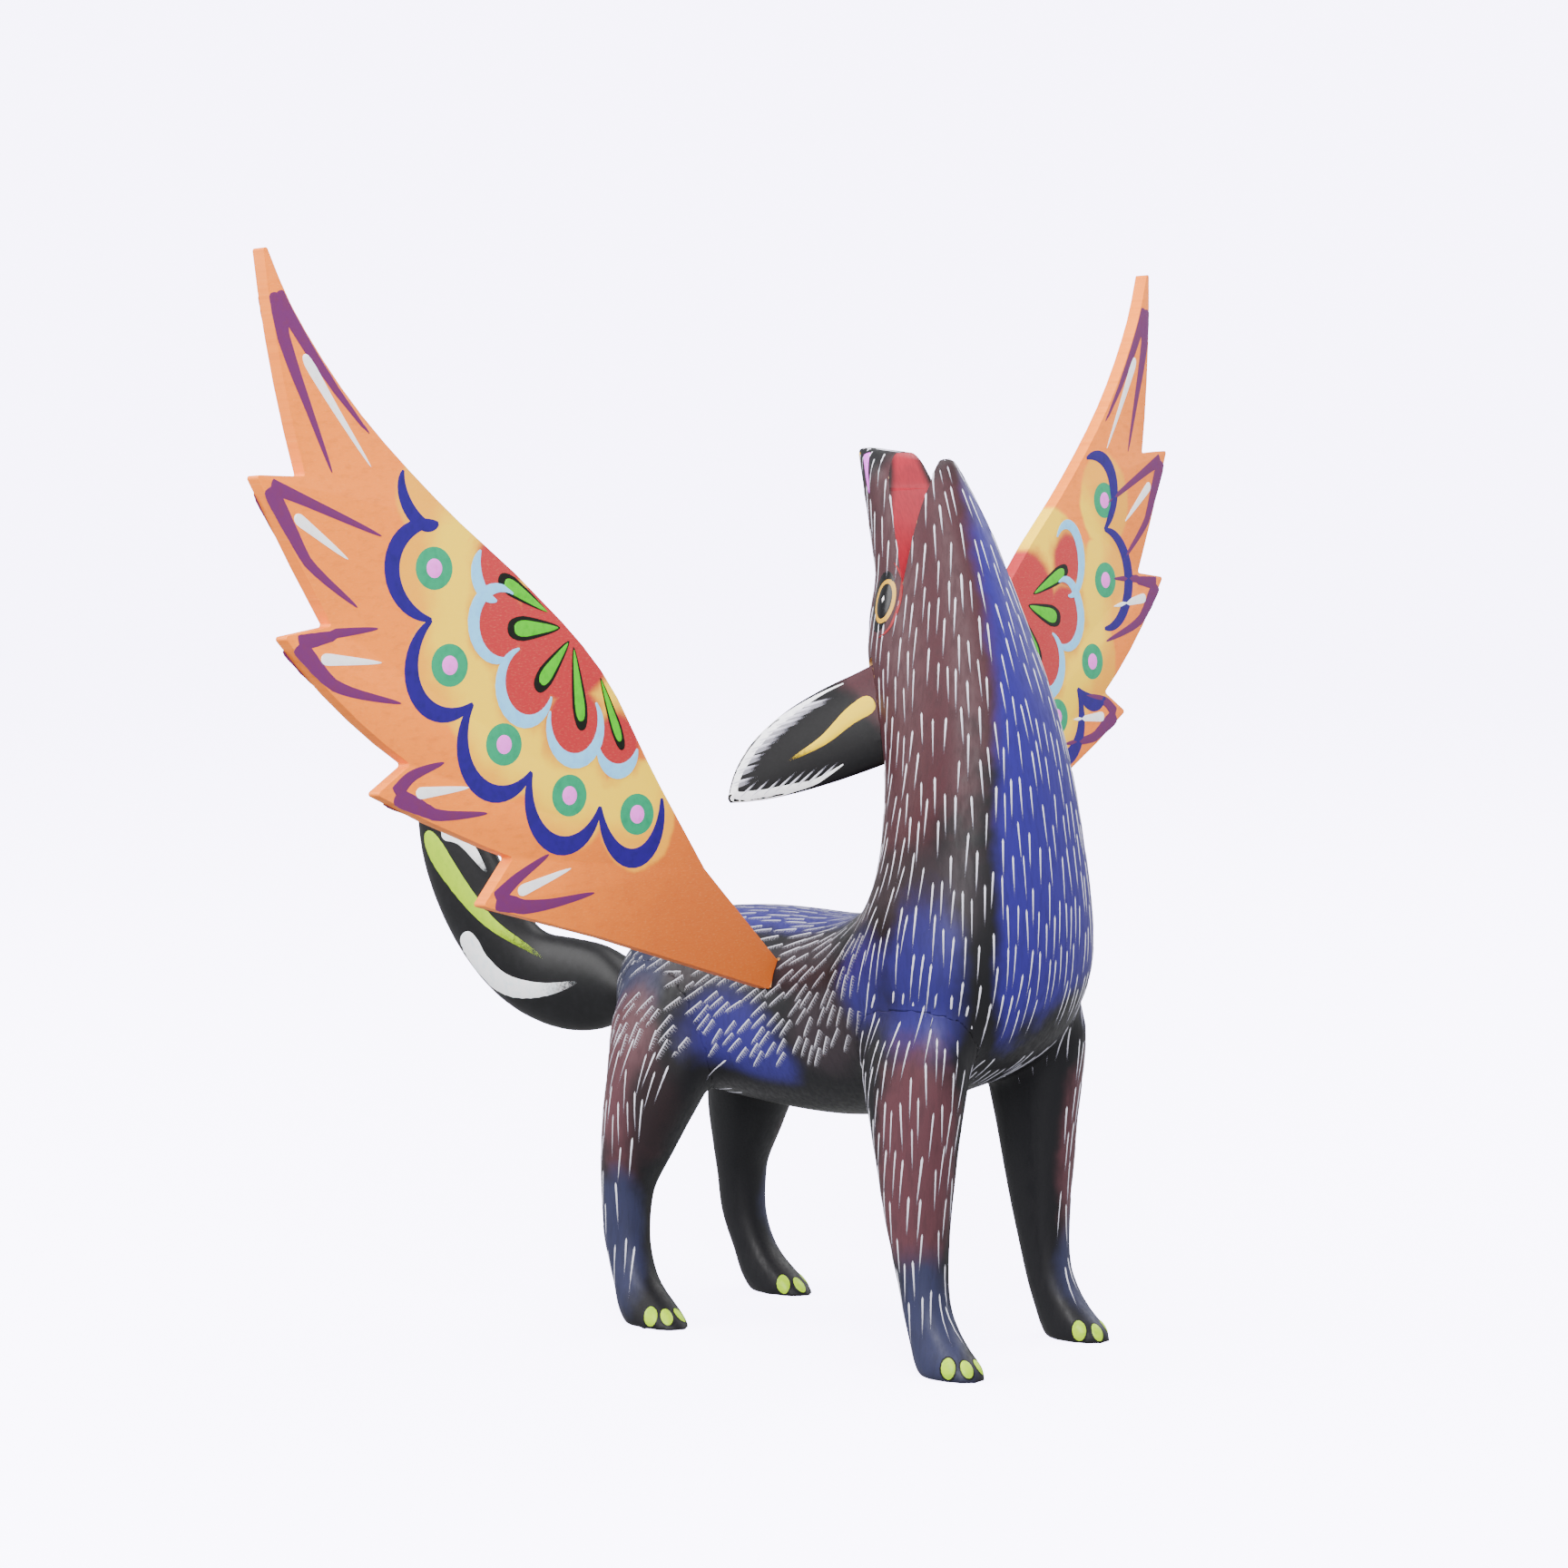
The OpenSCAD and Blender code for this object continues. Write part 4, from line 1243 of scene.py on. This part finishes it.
def ear_paint(paints, side):
    """Black with a burgundy root."""
    s = Shade("ear_paint_left" if side == LEFT else "ear_paint_right")
    ear = on_side(ear_matrix(), side).inverted()
    p = s.place()
    along, high = s.along(p, ear[0]), s.along(p, ear[1])
    cloud = s.noise(p, 0.2, 2.0) - 0.5
    root = s.ramp(along + cloud * 5 - high * 0.25, 3.5, -2.0)
    colour = s.mix(root, rgba((0.0035, 0.0033, 0.0042)), rgba(paints.maroon))
    grain = s.noise(p, 1.4, 3.0, 0.6)
    colour = s.mix(s.ramp(grain, 0.45, 0.8, 0.0, 0.3), colour, rgba((0.009, 0.0085, 0.0105)))
    return s.finish(colour, 0.45, s.bump(grain, 0.2, 0.0001), specular=0.19)


EAR_STATIONS = (3, 8, 12, 16, 20, 24, 28, 31, 34, 36.5)
EAR_TIP = 37.6
EAR_DROP = ((-1.2, 3.0, 0), (5.4, 2.6, 0), (13.4, 0.9, 0), (22.8, 0.9, 0))
# Comb strokes along the ear's upper and lower edge: inset, slope and half width
COMBS = ((-1.3, -0.26, 0.4), (1.5, 0.22, 0.3))
COMB_FROM, COMB_STEP, LOWER_COMB_FROM = 12.5, 2.55, 17


def leaf_edges(tree, matrix):
    """Upper and lower edge of the ear at each station along it."""
    down = matrix.to_3x3() @ -Z_AXIS
    edges = {}
    for x in EAR_STATIONS:
        edges[x] = []
        for way in (1, -1):
            steps = [way * k * 0.22 for k in range(1, 60)]
            met = [y for y in steps if tree.ray_cast(matrix @ Vector((x, y, 9)), down)[0] is not None]
            edges[x].append(met[-1] if met else 0)
    return edges


def edge_at(edges, x, which):
    low, high = max(q for q in edges if q <= x), min(q for q in edges if q >= x)
    f = 0 if high == low else (x - low) / (high - low)
    return edges[low][which] * (1 - f) + edges[high][which] * f


def ear_rim(strokes, matrix, edges):
    """White border along both edges, meeting at the tip."""
    upper = [Vector((x, e[0] - 0.9, 0)) for x, e in edges.items()]
    lower = [Vector((x, e[1] + (3.0 if x < 13 else 1.9 if x < LOWER_COMB_FROM else 1.1), 0))
             for x, e in edges.items() if x > 8]
    tip = [Vector((EAR_TIP, sum(edges[EAR_STATIONS[-1]]) / 2, 0))]
    for line, width in ((upper + tip, 1.55), (lower + tip, 1.5)):
        strokes.stroke(curve([matrix @ q for q in line]), width,
                       lambda t: 0.1 + 0.9 * min(1, t * 1.8) * (1 if t < 0.97 else 0.8), rings=26, hug=True)


def ear_combs(comb, shade, matrix, edges, draw):
    """Fine strokes combed back from both edges, with a grey shade under the upper ones."""
    for k in range(10):
        x = COMB_FROM + k * COMB_STEP
        for which, (inset, slope, width) in enumerate(COMBS):
            if which == 1 and x < LOWER_COMB_FROM:
                continue
            start = Vector((x + 1, edge_at(edges, x, which) + inset, 0))
            reach = draw.uniform(6.2, 7.8) * (1 if x < 30 else 0.8)
            end = start + Vector((-reach, slope * reach, 0))
            line = curve([matrix @ start, matrix @ ((start + end) / 2), matrix @ end])
            comb.stroke(line, width, tear(0.1, 0.6), rings=8, sides=4, hug=True)
            if which == 0:
                below = Vector((0.2, -0.62, 0))
                wide = curve([matrix @ (start + below), matrix @ (start * 0.25 + end * 0.75 + below)])
                shade.stroke(wide, 0.75, tear(0.1, 0.5), rings=8, sides=4, hug=True)


class COYOTE_OT_ears(Step):
    """Leaf ears with a white brushed border and a yellow drop"""
    bl_idname = "coyote.ears"
    bl_label = "Ears"

    def execute(self, context):
        paints = self.paints
        draw = random.Random(3)
        white = brush_paint("ear_border", (0.93, 0.93, 0.97), (0.7, 0.69, 0.76), 0.5, (0.8, 0.8, 0.8))
        inks = {
            "border": (0.14, white),
            "shade": (0.1, hair_paint(paints, "ear_shade", 0.42, 0.3)),
            "comb": (0.17, hair_paint(paints, "ear_hair", 1.0, 0.1)),
            "drop": (0.2, brush_paint("ear_drop", paints.lemon, (0.72, 0.52, 0.006), 0.4, alpha_tail=True))}
        for word, side in SIDES.items():
            body = "ear_" + word
            bm = copy_of(body)
            crease_corners(bm, math.radians(62))
            bm = rounded(bm, 2)
            tree = BVHTree.FromBMesh(bm)
            piece("ear_leaf_" + word, bm, ear_paint(paints, side), body, [body], sharp=50)
            matrix = on_side(ear_matrix(), side)
            edges = leaf_edges(tree, matrix)
            for facing, face in ((1, "front"), (-1, "back")):
                down = matrix.to_3x3() @ Vector((0, 0, -facing))
                surface = on_leaf(tree, lambda guess: (guess - down * 12, down))
                layers = {name: Strokes(surface, lift) for name, (lift, _) in inks.items()}
                ear_rim(layers["border"], matrix, edges)
                ear_combs(layers["comb"], layers["shade"], matrix, edges, draw)
                line = curve([matrix @ Vector(q) for q in EAR_DROP])
                layers["drop"].stroke(line, 2.25, tear(0.16, 0.8), rings=18, sides=8, hug=True)
                for name, strokes in layers.items():
                    strokes.done(f"ear_{name}_{word}_{face}", inks[name][1], body)
        return {"FINISHED"}


# Strokes on the tail's middle plane: the stroke's ink, half width and points along and up
TAIL_STROKES = [
    ("lime", 3.3, [(-92.4, 109.2), (-85.7, 101.9), (-76.7, 93.4), (-67.7, 87.0), (-52.6, 80.6)]),
    ("white", 4.3, [(-79.2, 85.0), (-74.8, 78.2), (-65.6, 73.2), (-53.4, 73.0), (-41.0, 76.0)]),
    ("white", 2.6, [(-86.4, 110.6), (-79.9, 108.4), (-72.2, 100.4)]),
    ("white", 1.5, [(-93.5, 128.0), (-90.6, 120.0), (-86.0, 114.0)]),
]


class COYOTE_OT_tail(Step):
    """Black leaf tail with lime and white brush strokes"""
    bl_idname = "coyote.tail"
    bl_label = "Tail"

    def execute(self, context):
        paints = self.paints
        bm = copy_of("tail")
        crease_corners(bm, math.radians(50))
        bm = rounded(bm, 1)
        tree = BVHTree.FromBMesh(bm)
        black, worn = (0.0035, 0.0034, 0.0042), (0.0075, 0.0072, 0.009)
        black = brush_paint("tail_black", black, worn, 0.42, (0.4, 0.4, 0.4))
        piece("tail_leaf", bm, black, "tail", ["tail"], sharp=50)
        inks = {
            "lime": brush_paint("tail_lime", paints.lime, (0.26, 0.46, 0.002), 0.4, (0.6, 0.6, 0.6), True),
            "white": brush_paint("tail_white", paints.white, (0.66, 0.8, 0.86), 0.42, alpha_tail=True)}
        for word, side in SIDES.items():
            surface = on_leaf(tree, lambda p: (Vector((p.x, 20 * side, p.z)), Vector((0, -side, 0))))
            layers = {ink: Strokes(surface, 0.16) for ink in inks}
            for ink, width, points in TAIL_STROKES:
                line = curve([Vector((x, 0, z)) for x, z in points])
                layers[ink].stroke(line, width, tear(0.2, 0.75), rings=26, sides=8, hug=True)
            for ink, strokes in layers.items():
                strokes.done(f"tail_{ink}_{word}", inks[ink], "tail")
        return {"FINISHED"}


class COYOTE_OT_pegs(Step):
    """Whittled pegs and dowels of bare wood"""
    bl_idname = "coyote.pegs"
    bl_label = "Pegs and dowels"

    def execute(self, context):
        wood = bare_wood(self.paints)
        for name, node in NODES.items():
            if "peg" in name or "dowel" in name:
                node.data.materials.clear()
                node.data.materials.append(wood)
        return {"FINISHED"}


SWEEP_RUN, SWEEP_CORNER, SWEEP_WALL = 3.4, 0.9, 3.4
LOOK_AT = Vector((0.02, 0, 0.13))
CAMERA_AT = (0.6424, -0.8051, 0.2243)
CAMERA_TURN = (math.radians(84.576), 0, math.radians(37.763))
# Each light's place, size and power
LIGHTS = {
    "top_softbox": ((0.1, -0.1, 1.3), 1.2, 25),
    "front_softbox": ((0.9, -1.3, 0.9), 1.0, 50),
    "left_softbox": ((-0.9, -0.9, 0.7), 0.9, 24),
    "back_softbox": ((0.3, 1.2, 0.9), 1.0, 13)}


def add_sweep():
    """A pale round floor that curves up all round into a wall. It sheds no light on the piece."""
    bm = bmesh.new()
    profile = [(0.0, 0.0), (SWEEP_RUN - SWEEP_CORNER, 0.0)]
    for k in range(1, 13):
        a = math.pi / 2 * k / 12
        profile.append((SWEEP_RUN - SWEEP_CORNER * (1 - math.sin(a)), SWEEP_CORNER * (1 - math.cos(a))))
    profile.append((SWEEP_RUN, SWEEP_WALL))
    verts = [bm.verts.new((x, 0, z)) for x, z in profile]
    edges = [bm.edges.new(pair) for pair in zip(verts, verts[1:])]
    bmesh.ops.spin(bm, geom=verts + edges, cent=(0, 0, 0), axis=Z_AXIS, angle=2 * math.pi, steps=72)
    bmesh.ops.remove_doubles(bm, verts=bm.verts, dist=0.0001)
    bmesh.ops.recalc_face_normals(bm, faces=bm.faces)
    sweep = scratch_object(bm, "sweep")
    sweep.data.shade_smooth()
    glow = ((0.76, 0.70, 1.0, 1), 8.6)
    sweep.data.materials.append(Shade("pale_sweep").finish((0.9, 0.9, 0.91, 1), 0.9, specular=0.05, glow=glow))
    for way in ("diffuse", "glossy", "transmission", "shadow"):
        setattr(sweep, "visible_" + way, False)


def add_lights(scene):
    world = bpy.data.worlds.new("soft_room")
    scene.world = world
    world.use_nodes = True
    back = world.node_tree.nodes["Background"]
    back.inputs["Color"].default_value = (0.96, 0.97, 1.0, 1)
    back.inputs["Strength"].default_value = 0.9
    for name, (spot, size, power) in LIGHTS.items():
        light = bpy.data.lights.new(name, "AREA")
        light.shape, light.size, light.energy = "DISK", size, power
        lamp = bpy.data.objects.new(name, light)
        lamp.location = spot
        lamp.rotation_mode = "QUATERNION"
        lamp.rotation_quaternion = (LOOK_AT - Vector(spot)).to_track_quat("-Z", "Y")
        scene.collection.objects.link(lamp)


def add_camera(scene):
    camera = bpy.data.cameras.new("camera")
    camera.lens, camera.sensor_width = 100, 36
    camera.clip_start, camera.clip_end = 0.05, 20
    holder = bpy.data.objects.new("camera", camera)
    holder.location, holder.rotation_euler = CAMERA_AT, CAMERA_TURN
    scene.collection.objects.link(holder)
    scene.camera = holder


class COYOTE_OT_stage(Step):
    """Pale sweep, soft lights and the camera"""
    bl_idname = "coyote.stage"
    bl_label = "Stage"

    def execute(self, context):
        add_sweep()
        add_lights(context.scene)
        add_camera(context.scene)
        return {"FINISHED"}


STEPS = [COYOTE_OT_body, COYOTE_OT_hair, COYOTE_OT_face, COYOTE_OT_nails, COYOTE_OT_wings,
         COYOTE_OT_wing_pattern, COYOTE_OT_ears, COYOTE_OT_tail, COYOTE_OT_pegs, COYOTE_OT_stage]


class COYOTE_PT_panel(bpy.types.Panel):
    """The steps in order"""
    bl_label = "Coyote"
    bl_idname = "COYOTE_PT_panel"
    bl_space_type = "VIEW_3D"
    bl_region_type = "UI"
    bl_category = "Coyote"

    def draw(self, context):
        for step in STEPS:
            self.layout.operator(step.bl_idname)
        for group in (context.scene.coyote_sizes, context.scene.coyote_paints):
            for name in group.bl_rna.properties.keys():
                if name not in ("rna_type", "name"):
                    self.layout.prop(group, name)


CLASSES = [CoyoteSizes, CoyotePaints, *STEPS, COYOTE_PT_panel]


def register():
    for one in CLASSES:
        bpy.utils.register_class(one)
    bpy.types.Scene.coyote_sizes = PointerProperty(type=CoyoteSizes)
    bpy.types.Scene.coyote_paints = PointerProperty(type=CoyotePaints)


def unregister():
    del bpy.types.Scene.coyote_paints
    del bpy.types.Scene.coyote_sizes
    for one in reversed(CLASSES):
        bpy.utils.unregister_class(one)


def main():
    for name in ("Cube", "Light", "Camera"):
        if name in bpy.data.objects:
            bpy.data.objects.remove(bpy.data.objects[name])
    register()
    for step in STEPS:
        group, name = step.bl_idname.split(".")
        getattr(getattr(bpy.ops, group), name)()


if __name__ == "__main__":
    main()
